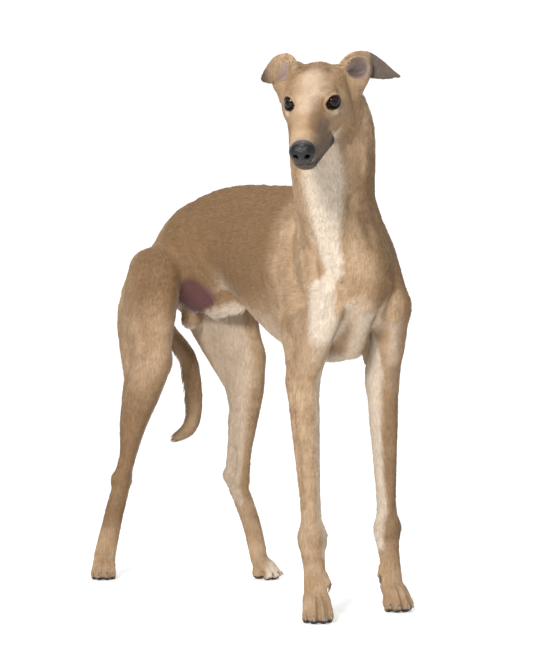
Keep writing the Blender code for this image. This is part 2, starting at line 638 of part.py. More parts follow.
def ear(s):
    """One ear: a cup open to the front, and the flap that folds over behind it and out to the side."""
    outer, inner = [], []
    up = HEAD_AXES[2]
    for (x, y, z), (nx, ny, nz), (wide, high) in CUP:
        centre, normal = head(x, s * y * (0.94 if s < 0 else 1), z), head_way(nx, s * ny, nz)
        across = unit(np.cross(up, normal))
        rise = np.cross(normal, across)
        outer.append(circle(centre, across * wide * MM, rise * high * MM, 20))
        inner.append(circle(centre, across * (wide - CUP_WALL) * MM, rise * (high - CUP_WALL) * MM, 20))
    deep = inner[-1] * 0.25 + inner[-1].mean(0) * 0.75 - normal * CUP_FLOOR * MM
    cup = tube("cup", [*outer, inner[-1], inner[-1] * 0.8 + inner[-1].mean(0) * 0.2 - normal * 6 * MM, deep])
    rows = FLAP[s]
    crest, hem = (smooth_rows(np.array([head(*p) for p in rows[k]]), 2) for k in ("crest", "hem"))
    lean = []
    for i, (top, low) in enumerate(zip(crest, hem)):
        share = i / (len(crest) - 1)
        run = unit(crest[min(i + 1, len(crest) - 1)] - crest[max(i - 1, 0)])
        bulge = np.cross(run, unit(low - top + 1e-6)) * -s
        thick = (4.6 - 1.6 * share) * MM
        swell = 5.0 * MM * (1 - share)
        front, back = [], []
        for t in np.linspace(0, 1, 6):
            middle = top + (low - top) * t + bulge * swell * math.sin(math.pi * t)
            edge = 0.55 if t in (0, 1) else 1
            front.append(middle + bulge * thick / 2 * edge)
            back.append(middle - bulge * thick / 2 * edge)
        lean.append(front + back[::-1])
    flap = tube("flap", lean)
    boolean(cup, [flap], "UNION")
    fuse = cup.modifiers.new("fuse", "REMESH")
    fuse.mode = "VOXEL"
    fuse.voxel_size = EAR_VOXEL
    soften = cup.modifiers.new("soften", "SMOOTH")
    soften.iterations = 4
    apply_modifiers(cup)
    simplify(cup, EAR_TRIANGLES)
    cup.name = "ear_left" if s > 0 else "ear_right"
    return cup


def claw(start, ahead, scale, grown=0.0):
    """A claw curving down from a toe. `grown` widens it all round, to cut its socket."""
    across = unit(np.cross(ahead, (0, 0, 1)))
    up = np.cross(across, ahead)
    rings = []
    for t, size in ((-0.2, 3.0), (0.3, 3.2), (0.6, 2.7), (0.85, 1.8), (1.0, 0.9)):
        centre = start + ahead * (1 + 10 * t) * MM * scale + up * (1.0 - 8.0 * t * t) * MM * scale
        half = size * MM * scale + grown
        rings.append(circle(centre + ahead * grown * (1 if t == 1 else -1 if t < 0 else 0),
                            across * half * 0.72, up * half, 8))
    return rings


def claw_roots(legs, scale):
    """Where each claw starts, the way it points and its size, by the name it gets."""
    found = {}
    name = "fore" if legs is FORE else "hind"
    for s, side in ((-1, "right"), (1, "left")):
        forward, left = heading(legs[s]["toes"])
        paw = np.array([*legs[s]["paw"], FLOOR_Z])
        for i, toe in enumerate(TOES, 1):
            _, _, tip, ahead = toe_line(paw, forward, left, scale, toe)
            found[f"claw_{name}_{side}_{i}"] = (tip + (ahead * 0.5 + np.array([0, 0, 1.5])) * MM, ahead, scale)
        if legs is FORE:
            _, tip, ahead = dewclaw_line(s)
            found[f"dewclaw_{side}"] = (tip, ahead, 1.15)
    return found


def claws():
    made, sockets = [], []
    for name, place in {**claw_roots(FORE, FORE_PAW), **claw_roots(HIND, HIND_PAW)}.items():
        made.append(tube(name, claw(*place)))
        sockets.append(tube("socket", claw(*place, GAP)))
    return made, sockets


def cuts():
    """The cutters that divide the flesh into its parts."""
    made = [
        disc((-0.100, -0.325, 0.795), (-0.43, -0.42, 0.8), 0.100),
        disc(thorax(0.052, -0.022, 0.668), (-0.25, -0.45, 1), 0.165),
        shell(head(120, 0, -20), np.array([19.5, 28, 18]) * MM, HEAD_AXES, 3),
        mouth_cut(),
        disc((0.019, 0.424, 0.572), (0.12, 0.50, -0.85), 0.050),
        disc((0.040, 0.398, 0.476), (0.3, -0.6, -0.8), 0.030),
        disc((0.050, 0.312, 0.345), (-0.1, -0.3, -1), 0.028),
    ]
    for s in (-1, 1):
        forward, left = heading(THORAX_HEADING)
        upright = (forward, left, np.array([0, 0, 1.0]))
        made.append(shell(thorax(0.022, s * 0.090, 0.498), (0.112, 0.054, 0.138), upright, 6))
        carpus = np.array(FORE[s]["carpus"])
        paw = np.array([*FORE[s]["paw"], FLOOR_Z])
        made.append(disc(carpus + [0, 0, 0.040], (0, 0, 1), 0.034))
        made.append(disc(carpus * 0.35 + paw * 0.65 + [0, 0, 0.022], (0, 0, 1), 0.036))
        hip, stifle, hock = (np.array(HIND[s][n]) for n in ("hip", "stifle", "hock"))
        along = unit((hip - stifle) * [0, 1, 1])
        axes = (np.array([1.0, 0, 0]), np.cross((1, 0, 0), along), along)
        middle = (hip + stifle) / 2 * [0, 1, 1] + [s * 0.080, 0.006, 0]
        made.append(shell(middle, (0.052, 0.112, 0.136), axes))
        made.append(disc(hock + [0, 0, 0.046] + 0.22 * (stifle - hock) * [1, 1, 0], stifle - hock, 0.050))
        paw = np.array([*HIND[s]["paw"], FLOOR_Z])
        made.append(disc(hock * 0.30 + paw * 0.70 + [0, 0, 0.022], (0, 0, 1), 0.036))
    return made


def floor_cutter():
    """Everything below the floor, so that the pads stand on small flats."""
    low = FLOOR_Z - 0.1
    corners = [(x, y, z) for z in (low, FLOOR_Z) for x, y in ((-1, -1), (1, -1), (1, 1), (-1, 1))]
    sides = [(0, 1, 5, 4), (1, 2, 6, 5), (2, 3, 7, 6), (3, 0, 4, 7)]
    return solid("below", corners, [(0, 1, 2, 3), (4, 5, 6, 7), *sides])


def seeds():
    """A point inside each part of the flesh, by the part's name."""
    found = {
        "torso": (0.03, 0.05, 0.62), "neck": (-0.07, -0.304, 0.75), "head": head(-30, 0, -15),
        "jaw": head(80, 0, -53), "nose": head(*NOSE_AT), "tail_base": TAIL[2], "tail_middle": TAIL[5],
        "tail_tip": TAIL[7],
    }
    for s, side in ((-1, "right"), (1, "left")):
        elbow = thorax(0, s * ELBOW_HALF, ELBOW_Z)
        fore, hind = FORE[s], HIND[s]
        found[f"fore_{side}_upper"] = thorax(0.03, s * 0.07, 0.45)
        found[f"fore_{side}_forearm"] = elbow * 0.5 + np.array(fore["carpus"]) * 0.5
        found[f"fore_{side}_pastern"] = fore["carpus"]
        found[f"fore_{side}_paw"] = (*fore["paw"], FLOOR_Z + 0.03)
        found[f"hind_{side}_thigh"] = np.array(hind["hip"]) * 0.5 + np.array(hind["stifle"]) * 0.5
        found[f"hind_{side}_lower_leg"] = np.array(hind["stifle"]) * 0.6 + np.array(hind["hock"]) * 0.4
        found[f"hind_{side}_hock"] = hind["hock"]
        found[f"hind_{side}_paw"] = (*hind["paw"], FLOOR_Z + 0.03)
    return found


def inside(tree, point):
    """Whether a ray from the point crosses the surface an odd number of times."""
    start, way, hits = Vector(point), Vector((0.31, 0.27, 0.91)).normalized(), 0
    while True:
        place, *_ = tree.ray_cast(start, way)
        if place is None:
            return hits % 2 == 1
        start = place + way * 1e-6
        hits += 1


def part_out(body):
    """Splits the cut flesh into one object for each seed and drops the scraps."""
    bpy.ops.object.select_all(action="DESELECT")
    body.select_set(True)
    bpy.context.view_layer.objects.active = body
    bpy.ops.mesh.separate(type="LOOSE")
    pieces = [obj for obj in bpy.context.selected_objects if obj.type == "MESH"]
    named = {}
    trees = [(obj, BVHTree.FromPolygons([v.co for v in obj.data.vertices], [p.vertices for p in obj.data.polygons]))
             for obj in pieces]
    for name, point in seeds().items():
        homes = [obj for obj, tree in trees if inside(tree, point)]
        if len(homes) != 1 or homes[0] in named.values():
            raise ValueError(f"{name} is in {len(homes)} pieces, or shares one")
        named[name] = homes[0]
    for obj in pieces:
        if obj not in named.values():
            bpy.data.objects.remove(obj)
    for name, obj in named.items():
        obj.name = name
    return named


def paint(obj):
    """Gives the part its material."""
    name = obj.name
    key = "eye" if name.startswith("eye") else "claw" if "claw" in name else name
    looks = LOOKS.get(key, LOOKS["coat"])
    label = key if key in LOOKS else "coat"
    material = bpy.data.materials.get(label) or bpy.data.materials.new(label)
    material.use_nodes = True
    shader = material.node_tree.nodes["Principled BSDF"]
    shader.inputs["Base Color"].default_value = (*looks[0], 1)
    shader.inputs["Roughness"].default_value = looks[1]
    shader.inputs["Metallic"].default_value = 0
    obj.data.materials.clear()
    obj.data.materials.append(material)


def grown_copy(obj, amount):
    """A copy pushed out along its normals, to cut a neighbour clear of it."""
    copy = obj.copy()
    copy.data = obj.data.copy()
    bpy.context.scene.collection.objects.link(copy)
    push = copy.modifiers.new("push", "DISPLACE")
    push.strength = amount
    push.mid_level = 0
    apply_modifiers(copy)
    return copy


def keep_largest(obj):
    """Drops all but the largest closed surface of a mesh."""
    bm = bmesh.new()
    bm.from_mesh(obj.data)
    groups, left = [], set(bm.verts)
    while left:
        group, edge = set(), [left.pop()]
        while edge:
            vert = edge.pop()
            group.add(vert)
            for link in vert.link_edges:
                other = link.other_vert(vert)
                if other in left:
                    left.remove(other)
                    edge.append(other)
        groups.append(group)
    largest = max(groups, key=len)
    bmesh.ops.delete(bm, geom=[v for g in groups if g is not largest for v in g], context="VERTS")
    bm.to_mesh(obj.data)
    bm.free()


def main():
    for obj in list(bpy.data.objects):
        bpy.data.objects.remove(obj)
    body = whole_flesh()
    eyes, holes = [], []
    for s in (-1, 1):
        eye, hole = eye_parts(s)
        eyes.append(eye)
        holes += hole
    ears = [ear(s) for s in (-1, 1)]
    nails, sockets = claws()
    boolean(body, [*holes, *nostrils(), *sockets, floor_cutter()], "DIFFERENCE")
    boolean(body, cuts(), "DIFFERENCE")
    parts = part_out(body)
    for one in ears:
        boolean(one, [grown_copy(parts["head"], GAP)], "DIFFERENCE")
        keep_largest(one)
    offset = Matrix.Translation(-Vector(ORIGIN))
    for obj in [*parts.values(), *eyes, *ears, *nails]:
        obj.data.transform(offset)
        obj.data.shade_smooth()
        obj.data.set_sharp_from_angle(angle=math.radians(50))
        paint(obj)


if __name__ == "__main__":
    main()
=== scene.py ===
import math

import bmesh
import bpy
import numpy as np
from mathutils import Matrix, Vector
from mathutils.bvhtree import BVHTree
from mathutils.kdtree import KDTree


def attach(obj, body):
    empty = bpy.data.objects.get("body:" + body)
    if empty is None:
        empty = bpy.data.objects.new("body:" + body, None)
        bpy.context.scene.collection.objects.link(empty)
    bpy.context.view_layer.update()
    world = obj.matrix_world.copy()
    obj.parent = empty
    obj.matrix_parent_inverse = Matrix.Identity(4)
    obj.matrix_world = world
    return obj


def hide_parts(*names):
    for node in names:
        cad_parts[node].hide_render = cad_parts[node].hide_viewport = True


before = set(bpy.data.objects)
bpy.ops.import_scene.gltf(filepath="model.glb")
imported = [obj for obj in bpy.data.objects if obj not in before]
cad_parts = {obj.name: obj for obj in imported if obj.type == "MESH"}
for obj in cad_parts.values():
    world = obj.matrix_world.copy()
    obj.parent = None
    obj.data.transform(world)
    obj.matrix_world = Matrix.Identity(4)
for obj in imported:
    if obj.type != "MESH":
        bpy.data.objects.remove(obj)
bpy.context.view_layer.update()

bl_info = {
    "name": "Greyhound",
    "version": (1, 0, 0),
    "blender": (4, 5, 0),
    "location": "View3D > Sidebar > Greyhound",
    "description": "A life-size fawn greyhound with skin, short coat, eyes and claws, on a studio floor",
    "category": "Add Mesh",
}

MM = 0.001

# The dog was set out about this point; its finished meshes are moved so that the point is the origin
FLOOR_Z = -0.010
ORIGIN = np.array([-0.0541, -0.0079, FLOOR_Z])

ELBOW_Z = 0.382
BRISKET_Z = 0.424
CHEST_HALF = 0.090
ELBOW_HALF = 0.072
EYE_RADIUS = 12.8 * MM
EYE_AT = (-1.2, 31.0, 0.8)
EYE_AXIS = (0.84, 0.49, 0.20)
EYE_OPENING = (13.4, 9.8)
NOSE_AT = (118, 0, -23)
NOSE_SIZE = (22.0, 17.0)
THORAX_AT = np.array([0.009, -0.234, 0.0])
THORAX_HEADING = math.radians(-18)
HEAD_AT = np.array([-0.173, -0.392, 0.8245])
HEAD_HEADING = math.radians(-46)
HEAD_PITCH = math.radians(-35)

RELIEF_GAIN = 1.7                   # how much deeper the small forms are than their heights in relief_lines

# Where the photo was taken from, as the dog was set out, and the stage's lamps: place, watts, size
CAMERA_AT = (-1.606, -2.330, 0.443)
CAMERA_TURN, CAMERA_PITCH = math.radians(-34.9), math.radians(0.797)
LAMPS = {"key": ((-2.5, -1.8, 2.1), 122, 0.8), "fill": ((1.6, -3.0, 1.6), 8, 2.0),
         "top": ((0.2, 0.4, 3.2), 34, 2.0), "rim": ((2.2, 2.0, 2.2), 14, 1.6)}
WORLD_LIGHT = 0.34

# Resolution of the skin
VOXEL = 6.0 * MM
EAR_VOXEL = 1.1 * MM
EAR_FACES = 11000

SKIN_NODES = ["torso", "neck", "head", "jaw", "nose", "ear_left", "ear_right",
              "tail_base", "tail_middle", "tail_tip"]
for side_name in ("left", "right"):
    SKIN_NODES += [f"fore_{side_name}_{part}" for part in ("upper", "forearm", "pastern", "paw")]
    SKIN_NODES += [f"hind_{side_name}_{part}" for part in ("thigh", "lower_leg", "hock", "paw")]


def unit(v):
    v = np.asarray(v, float)
    return v / np.linalg.norm(v)


def heading(angle):
    """Unit vectors forward and left, level, for something that faces `angle` from -Y towards +X."""
    forward = np.array([math.sin(angle), -math.cos(angle), 0.0])
    left = np.array([math.cos(angle), math.sin(angle), 0.0])
    return forward, left


def thorax(ahead, left, z):
    """A point by its place on the thorax: metres ahead of the elbows, to the left, above the floor."""
    forward, side = heading(THORAX_HEADING)
    return THORAX_AT + ahead * forward + left * side + np.array([0, 0, z])


def head_axes():
    level, left = heading(HEAD_HEADING)
    up = np.array([0.0, 0.0, 1.0])
    forward = level * math.cos(HEAD_PITCH) + up * math.sin(HEAD_PITCH)
    crown = up * math.cos(HEAD_PITCH) - level * math.sin(HEAD_PITCH)
    return forward, left, crown


HEAD_AXES = head_axes()


def head(x, y, z):
    """A point on the head: millimetres forward, left and up of the point midway between the eyes."""
    forward, side, crown = HEAD_AXES
    return HEAD_AT + (x * forward + y * side + z * crown) * MM


def head_way(x, y, z):
    """A direction given forward, left and up on the head."""
    forward, side, crown = HEAD_AXES
    return unit(x * forward + y * side + z * crown)


# Joints of the legs and tail, as they stand
FORE = {
    -1: {"carpus": (-0.061, -0.242, 0.116), "paw": (-0.079, -0.276), "toes": math.radians(-30)},
    1: {"carpus": (0.108, -0.233, 0.119), "paw": (0.094, -0.265), "toes": math.radians(-14)},
}
HIND = {
    -1: {"hip": (-0.056, 0.280, 0.600), "stifle": (-0.092, 0.226, 0.415), "hock": (-0.104, 0.333, 0.182),
         "paw": (-0.138, 0.339), "toes": math.radians(-34)},
    1: {"hip": (0.066, 0.275, 0.600), "stifle": (0.090, 0.174, 0.418), "hock": (0.098, 0.210, 0.180),
        "paw": (0.108, 0.157), "toes": math.radians(38)},
}
TAIL = [(0.012, 0.345, 0.632), (0.014, 0.400, 0.606), (0.022, 0.436, 0.545), (0.038, 0.402, 0.482),
        (0.056, 0.348, 0.425), (0.052, 0.318, 0.365), (0.045, 0.302, 0.312), (0.036, 0.305, 0.280),
        (0.020, 0.325, 0.262)]
TAIL_SIZES = [0.024, 0.0205, 0.0185, 0.0180, 0.0185, 0.0190, 0.0165, 0.0150, 0.0100]
FORE_PAW, HIND_PAW = 1.0, 0.93
TOES = [(-12, 27, -16), (-4, 37, -6.2), (4, 37, 6.2), (12, 27, 16)]
TOE_SIZE = 8.3
DEWCLAW_Z = 0.062


class Sweep:
    """A limb or muscle: oval sections along a line, each with a half width, a height above and one below."""

    def __init__(self, points, widths, ups, downs=None, side=(1, 0, 0), blend=0.012, keel=0.0, ridge=0.0,
                 steps=1):
        points = [np.asarray(p, float) for p in points]
        rows = np.array([[*p, w, u, d] for p, w, u, d in zip(points, widths, ups, downs or ups)])
        self.rows = smooth_rows(rows, steps)
        self.side = unit(side)
        self.blend, self.keel, self.ridge = blend, keel, ridge

    def distance(self, p):
        """Roughly how far each point lies outside this form."""
        best = np.full(len(p), 1.0)
        for a, b in zip(self.rows[:-1], self.rows[1:]):
            reach = max(a[3:].max(), b[3:].max()) + 0.035
            low = np.minimum(a[:3], b[:3]) - reach
            high = np.maximum(a[:3], b[:3]) + reach
            near = np.flatnonzero(((p > low) & (p < high)).all(1))
            if len(near):
                best[near] = np.minimum(best[near], self._segment(p[near], a, b))
        return best

    def across(self, along):
        """Unit vectors across the line: sideways, and upwards or, on an upright line, ahead."""
        side = unit(self.side - (self.side @ along) * along)
        up = np.cross(along, side)
        back = up[2] < 0 if abs(along[2]) < 0.9 else up[1] > 0
        return side, -up if back else up

    def _segment(self, p, a, b):
        axis = b[:3] - a[:3]
        length = np.linalg.norm(axis)
        along = axis / length
        side, up = self.across(along)
        off = p - a[:3]
        t = np.clip(off @ along / length, 0, 1)[:, None]
        size = a[3:] + (b[3:] - a[3:]) * t
        off = off - t * axis
        x, y, z = off @ side, off @ up, off @ along
        depth = np.where(y > 0, size[:, 1], size[:, 2])
        level = np.clip(y / depth, -1, 1)
        squeeze = np.where(level < 0, self.keel, self.ridge) * level**2
        width = size[:, 0] * (1 - squeeze)
        cap = np.minimum(width, depth)
        scaled = np.stack([x / width, y / depth, z / cap], 1)
        k0 = np.linalg.norm(scaled, axis=1)
        k1 = np.linalg.norm(scaled / np.stack([width, depth, cap], 1), axis=1)
        return k0 * (k0 - 1) / np.maximum(k1, 1e-6)


def smooth_rows(rows, steps):
    """Rows of numbers with `steps` spans between neighbours, on a smooth curve through all of them."""
    if steps == 1 or len(rows) < 3:
        return rows
    ends = np.vstack([2 * rows[0] - rows[1], rows, 2 * rows[-1] - rows[-2]])
    out = []
    for i in range(1, len(ends) - 2):
        p0, p1, p2, p3 = ends[i - 1 : i + 3]
        for t in np.arange(steps) / steps:
            out.append(0.5 * (2 * p1 + (p2 - p0) * t + (2 * p0 - 5 * p1 + 4 * p2 - p3) * t**2
                              + (3 * p1 - p0 - 3 * p2 + p3) * t**3))
    return np.vstack([*out, rows[-1]])


def ball(centre, radius, blend=0.012, side=(1, 0, 0), width=None, depth=None, along=(0, 0, 1),
         stretch=1 * MM):
    """A round or oval lump."""
    centre, along = np.asarray(centre, float), unit(along)
    half = along * stretch / 2
    return Sweep([centre - half, centre + half], [width or radius] * 2, [depth or radius] * 2, side=side,
                 blend=blend)


def torso_forms():
    # plan place, back height, belly height, half width: from under the tail to the front of the chest
    table = [
        ((0.010, 0.345), 0.640, 0.540, 0.042),
        ((0.012, 0.310), 0.690, 0.505, 0.058),
        ((0.015, 0.250), 0.728, 0.505, 0.070),
        ((0.025, 0.175), 0.748, 0.548, 0.059),
        ((0.035, 0.095), 0.752, 0.532, 0.066),
        ((0.042, 0.010), 0.745, 0.478, 0.082),
        ((0.041, -0.070), 0.734, 0.438, CHEST_HALF),
        ((0.032, -0.145), 0.728, BRISKET_Z, 0.087),
        ((0.012, -0.225), 0.716, BRISKET_Z + 0.002, 0.074),
        ((-0.012, -0.295), 0.662, 0.446, 0.062),
        ((-0.028, -0.338), 0.585, 0.485, 0.040),
    ]
    middles = [((*plan, 0.55 * top + 0.45 * low)) for plan, top, low, _ in table]
    ups = [top - m[2] for m, (_, top, _, _) in zip(middles, table)]
    downs = [m[2] - low for m, (_, _, low, _) in zip(middles, table)]
    widths = [w for *_, w in table]
    trunk = Sweep(middles, widths, ups, downs, blend=0.02, keel=0.42, ridge=0.30, steps=3)
    sternum = Sweep([thorax(0.105, 0, 0.505), thorax(0.04, 0, 0.446), thorax(-0.10, 0, 0.446)],
                    [0.018, 0.026, 0.022], [0.020, 0.024, 0.022], blend=0.03)
    sheath = Sweep([(0.030, 0.215, 0.524), (0.031, 0.160, 0.522), (0.034, 0.118, 0.519)],
                   [0.017, 0.018, 0.013], [0.040, 0.036, 0.014], [0.022, 0.020, 0.012], blend=0.012)
    scrotum = ball((0.016, 0.268, 0.497), 0.020, blend=0.016)
    return [trunk, sternum, sheath, scrotum]


def neck_forms():
    places = [thorax(0.030, -0.008, 0.585), thorax(0.052, -0.026, 0.650), (-0.053, -0.291, 0.700),
              (-0.067, -0.306, 0.750), (-0.080, -0.320, 0.794), (-0.100, -0.334, 0.824)]
    widths = [0.066, 0.066, 0.068, 0.071, 0.071, 0.066]
    cavity_shade = [0.112, 0.094, 0.080, 0.071, 0.061, 0.047]
    side = heading(math.radians(-26))[1]
    return [Sweep(places, widths, cavity_shade, side=side, blend=0.03, steps=3)]


def head_forms():
    side = HEAD_AXES[1]
    skull = Sweep([head(-104, 0, -34), head(-84, 0, -22), head(-60, 0, -15), head(-32, 0, -11),
                   head(6, 0, -14)],
                  [0.036, 0.046, 0.050, 0.046, 0.031], [0.037, 0.048, 0.049, 0.040, 0.029],
                  [0.034, 0.044, 0.044, 0.038, 0.034], side=side, blend=0.014, ridge=0.12, steps=3)
    muzzle = Sweep([head(-5, 0, -18), head(28, 0, -18), head(62, 0, -23), head(94, 0, -28),
                    head(112, 0, -30)],
                   [0.034, 0.0310, 0.0272, 0.0240, 0.0208], [0.034, 0.029, 0.025, 0.022, 0.019],
                   [0.036, 0.032, 0.028, 0.022, 0.014], side=side, blend=0.016, ridge=0.22, steps=3)
    jaw = Sweep([head(-58, 0, -48), head(-15, 0, -52), head(35, 0, -52), head(78, 0, -52),
                 head(104, 0, -52.5)],
                [0.036, 0.032, 0.0260, 0.0205, 0.0170], [0.025, 0.022, 0.015, 0.011, 0.0095], side=side,
                blend=0.01,
                steps=3)
    forms = [skull, muzzle, jaw]
    for s in (-1, 1):
        cheek = Sweep([head(-64, s * 36, -30), head(-30, s * 40, -26), head(6, s * 29, -22)],
                      [0.015, 0.0135, 0.009], [0.032, 0.023, 0.011], side=side, blend=0.022)
        lip = Sweep([head(34, s * 27, -47), head(62, s * 22.5, -43), head(94, s * 16, -40),
                     head(112, s * 8.5, -39)],
                    [0.0085, 0.0090, 0.0085, 0.0075], [0.011, 0.011, 0.010, 0.009], side=side, blend=0.009)
        root = Sweep([head(-56, s * 27, 4), head(-76, s * 34, 17 - 4 * s), head(-88, s * 36, 17 - 4 * s)],
                     [0.012, 0.014, 0.012], [0.012, 0.014, 0.010], side=side, blend=0.014)
        brow = Sweep([head(-16, s * 25, 14), head(8, s * 22, 12)], [0.011, 0.009], [0.008, 0.007], side=side,
                     blend=0.014)
        x, y, z = EYE_AT
        lids = ball(head(x, s * y, z), EYE_RADIUS + 1.6 * MM, blend=0.006)
        forms += [cheek, lip, root, brow, lids]
    nose = ball(head(*NOSE_AT), NOSE_SIZE[0] * MM, along=HEAD_AXES[0], side=side, blend=0.004,
                depth=NOSE_SIZE[1] * MM, stretch=3 * MM)
    return forms + [nose]


def foreleg_forms(s):
    joints = FORE[s]
    side = heading(THORAX_HEADING)[1]
    blade = Sweep([thorax(-0.045, s * 0.036, 0.684), thorax(0.020, s * 0.056, 0.592),
                   thorax(0.086, s * 0.058, 0.512)],
                  [0.020, 0.026, 0.028], [0.040, 0.050, 0.036], side=side, blend=0.022, steps=2)
    arm = Sweep([thorax(0.082, s * 0.059, 0.505), thorax(0.038, s * 0.067, 0.448),
                 thorax(-0.002, s * ELBOW_HALF, ELBOW_Z)],
                [0.027, 0.029, 0.025], [0.038, 0.041, 0.030], side=side, blend=0.02, steps=2)
    triceps = Sweep([thorax(-0.060, s * 0.066, 0.560), thorax(-0.050, s * 0.071, 0.480),
                     thorax(-0.042, s * 0.073, 0.420)],
                    [0.023, 0.025, 0.017], [0.044, 0.046, 0.027], side=side, blend=0.022, steps=2)
    hollow = ball(thorax(0.000, s * 0.066, 0.480), 0.026, side=side, depth=0.050, blend=0.02)
    elbow = thorax(0, s * ELBOW_HALF, ELBOW_Z)
    carpus = np.array(joints["carpus"])
    forward, left = heading(joints["toes"])
    down = carpus - elbow
    forearm = Sweep([elbow + 0.02 * unit(-down), elbow + 0.10 * down, elbow + 0.26 * down,
                     elbow + 0.50 * down,
                     elbow + 0.80 * down, carpus - 0.01 * unit(down)],
                    [0.024, 0.0265, 0.0250, 0.0215, 0.0180, 0.0215],
                    [0.030, 0.030, 0.028, 0.0215, 0.0175, 0.0190],
                    side=side, blend=0.018, steps=3)
    paw = np.array([*joints["paw"], FLOOR_Z])
    knuckles = paw - 0.004 * forward + np.array([0, 0, 0.042])
    pastern = Sweep([carpus + [0, 0, 0.012], carpus + [0, 0, -0.014], carpus * 0.5 + knuckles * 0.5,
                     knuckles],
                    [0.0215, 0.0215, 0.0185, 0.0205], [0.0190, 0.0180, 0.0140, 0.0130], side=left,
                    blend=0.012, steps=3)
    stopper = ball(carpus - 0.017 * forward + [0, 0, -0.016], 0.009, blend=0.012)
    root, tip, _ = dewclaw_line(s)
    dewclaw = Sweep([root, tip], [0.0060, 0.0052], [0.0060, 0.0052], side=left, blend=0.006)
    return [blade, arm, triceps, hollow, forearm, pastern, stopper, dewclaw,
            *paw_forms(paw, forward, left, FORE_PAW)]


def dewclaw_line(s):
    """The root and tip of the small toe on the inner side of a front pastern, and the way it points."""
    carpus = np.array(FORE[s]["carpus"])
    forward, left = heading(FORE[s]["toes"])
    knuckles = np.array([*FORE[s]["paw"], FLOOR_Z + 0.042])
    share = (carpus[2] - FLOOR_Z - DEWCLAW_Z) / (carpus[2] - knuckles[2])
    middle = carpus + (knuckles - carpus) * share
    inwards = -s * left
    root = middle + 0.016 * inwards - 0.005 * forward + np.array([0, 0, 0.010])
    tip = middle + 0.0225 * inwards + 0.001 * forward - np.array([0, 0, 0.003])
    return root, tip, unit(0.4 * forward + 0.25 * inwards - np.array([0, 0, 0.9]))


def hindleg_forms(s):
    joints = HIND[s]
    hip, stifle, hock = (np.array(joints[n]) for n in ("hip", "stifle", "hock"))
    paw = np.array([*joints["paw"], FLOOR_Z])
    forward, left = heading(joints["toes"])
    side = np.array([1.0, 0, 0])
    thigh = Sweep([hip + [s * 0.008, -0.008, -0.006], hip * 0.6 + stifle * 0.4 + [s * 0.006, 0.012, 0],
                   stifle + [0, 0.012, 0.010]],
                  [0.044, 0.045, 0.033], [0.068, 0.079, 0.050], side=side, blend=0.025, steps=3)
    ham = Sweep([hip + [-s * 0.004, 0.060, -0.044], hip * 0.5 + stifle * 0.5 + [0, 0.076, -0.02],
                 stifle * 0.72 + hock * 0.28 + [s * 0.004, 0.018, 0]],
                [0.034, 0.035, 0.021], [0.034, 0.042, 0.030], side=side, blend=0.025, steps=3)
    shin = hock - stifle
    calf = np.array([s * 0.004, 0.008, 0])
    gaskin = Sweep([stifle, stifle + 0.25 * shin + calf, stifle + 0.52 * shin + calf, stifle + 0.80 * shin,
                    hock],
                   [0.031, 0.0330, 0.0255, 0.0170, 0.0175], [0.042, 0.042, 0.031, 0.0180, 0.018],
                   side=side, blend=0.018, steps=3)
    heel = hock - 0.026 * forward + [0, 0, 0.008]
    tendon = Sweep([stifle + 0.48 * shin - 0.022 * forward, stifle + 0.8 * shin - 0.026 * forward, heel],
                   [0.010, 0.0070, 0.0100], [0.012, 0.0080, 0.0100], side=left, blend=0.012, steps=2)
    knuckles = paw - 0.004 * forward + np.array([0, 0, 0.042])
    shank = Sweep([heel, hock * 0.6 + heel * 0.4 - [0, 0, 0.012], hock * 0.45 + knuckles * 0.55, knuckles],
                  [0.0115, 0.0180, 0.0190, 0.0215], [0.0110, 0.0190, 0.0175, 0.0165], side=left,
                  blend=0.012, steps=3)
    return [thigh, ham, gaskin, tendon, shank, *paw_forms(paw, forward, left, HIND_PAW)]


def toe_line(paw, forward, left, scale, toe):
    """The toe's root, knuckle and tip, and the way it points."""
    turn, reach, across = toe
    lean = math.radians(turn)
    ahead = forward * math.cos(lean) + left * math.sin(lean)
    start = paw + left * across * 0.86 * MM * scale
    root = start - ahead * 4 * MM * scale + np.array([0, 0, 39 * MM * scale])
    knuckle = start + ahead * (reach - 19) * MM * scale + np.array([0, 0, 33 * MM * scale])
    tip = start + ahead * reach * MM * scale + np.array([0, 0, 12.5 * MM * scale])
    return root, knuckle, tip, ahead


def paw_forms(paw, forward, left, scale):
    forms = []
    for toe in TOES:
        root, knuckle, tip, ahead = toe_line(paw, forward, left, scale, toe)
        size = np.array([0.95, 1.0, 0.86]) * TOE_SIZE * MM * scale
        forms.append(Sweep([root, knuckle, tip], size, size * 1.05, side=left, blend=0.004, steps=3))
        pad = tip - ahead * 6 * MM - np.array([0, 0, 5.5 * MM])
        forms.append(ball(pad, 8 * MM * scale, blend=0.004))
    heel = paw - forward * 3 * MM + np.array([0, 0, 12 * MM])
    forms.append(Sweep([heel, heel + (forward * 3 + np.array([0, 0, 20])) * MM],
                       np.array([18, 17]) * MM * scale,
                       np.array([15, 15]) * MM * scale, side=left, blend=0.010))
    return forms


def tail_forms():
    return [Sweep(TAIL, TAIL_SIZES, TAIL_SIZES, blend=0.010, steps=3)]


def all_forms():
    forms = torso_forms() + neck_forms() + head_forms() + tail_forms()
    for s in (-1, 1):
        forms += foreleg_forms(s) + hindleg_forms(s)
    return forms


def flesh(p, forms):
    """Below zero inside the flesh, and about the distance to its surface near it."""
    value = forms[0].distance(p)
    for form in forms[1:]:
        other, k = form.distance(p), form.blend
        mix = np.clip(0.5 + 0.5 * (other - value) / k, 0, 1)
        value = other * (1 - mix) + value * mix - k * mix * (1 - mix)
    return value


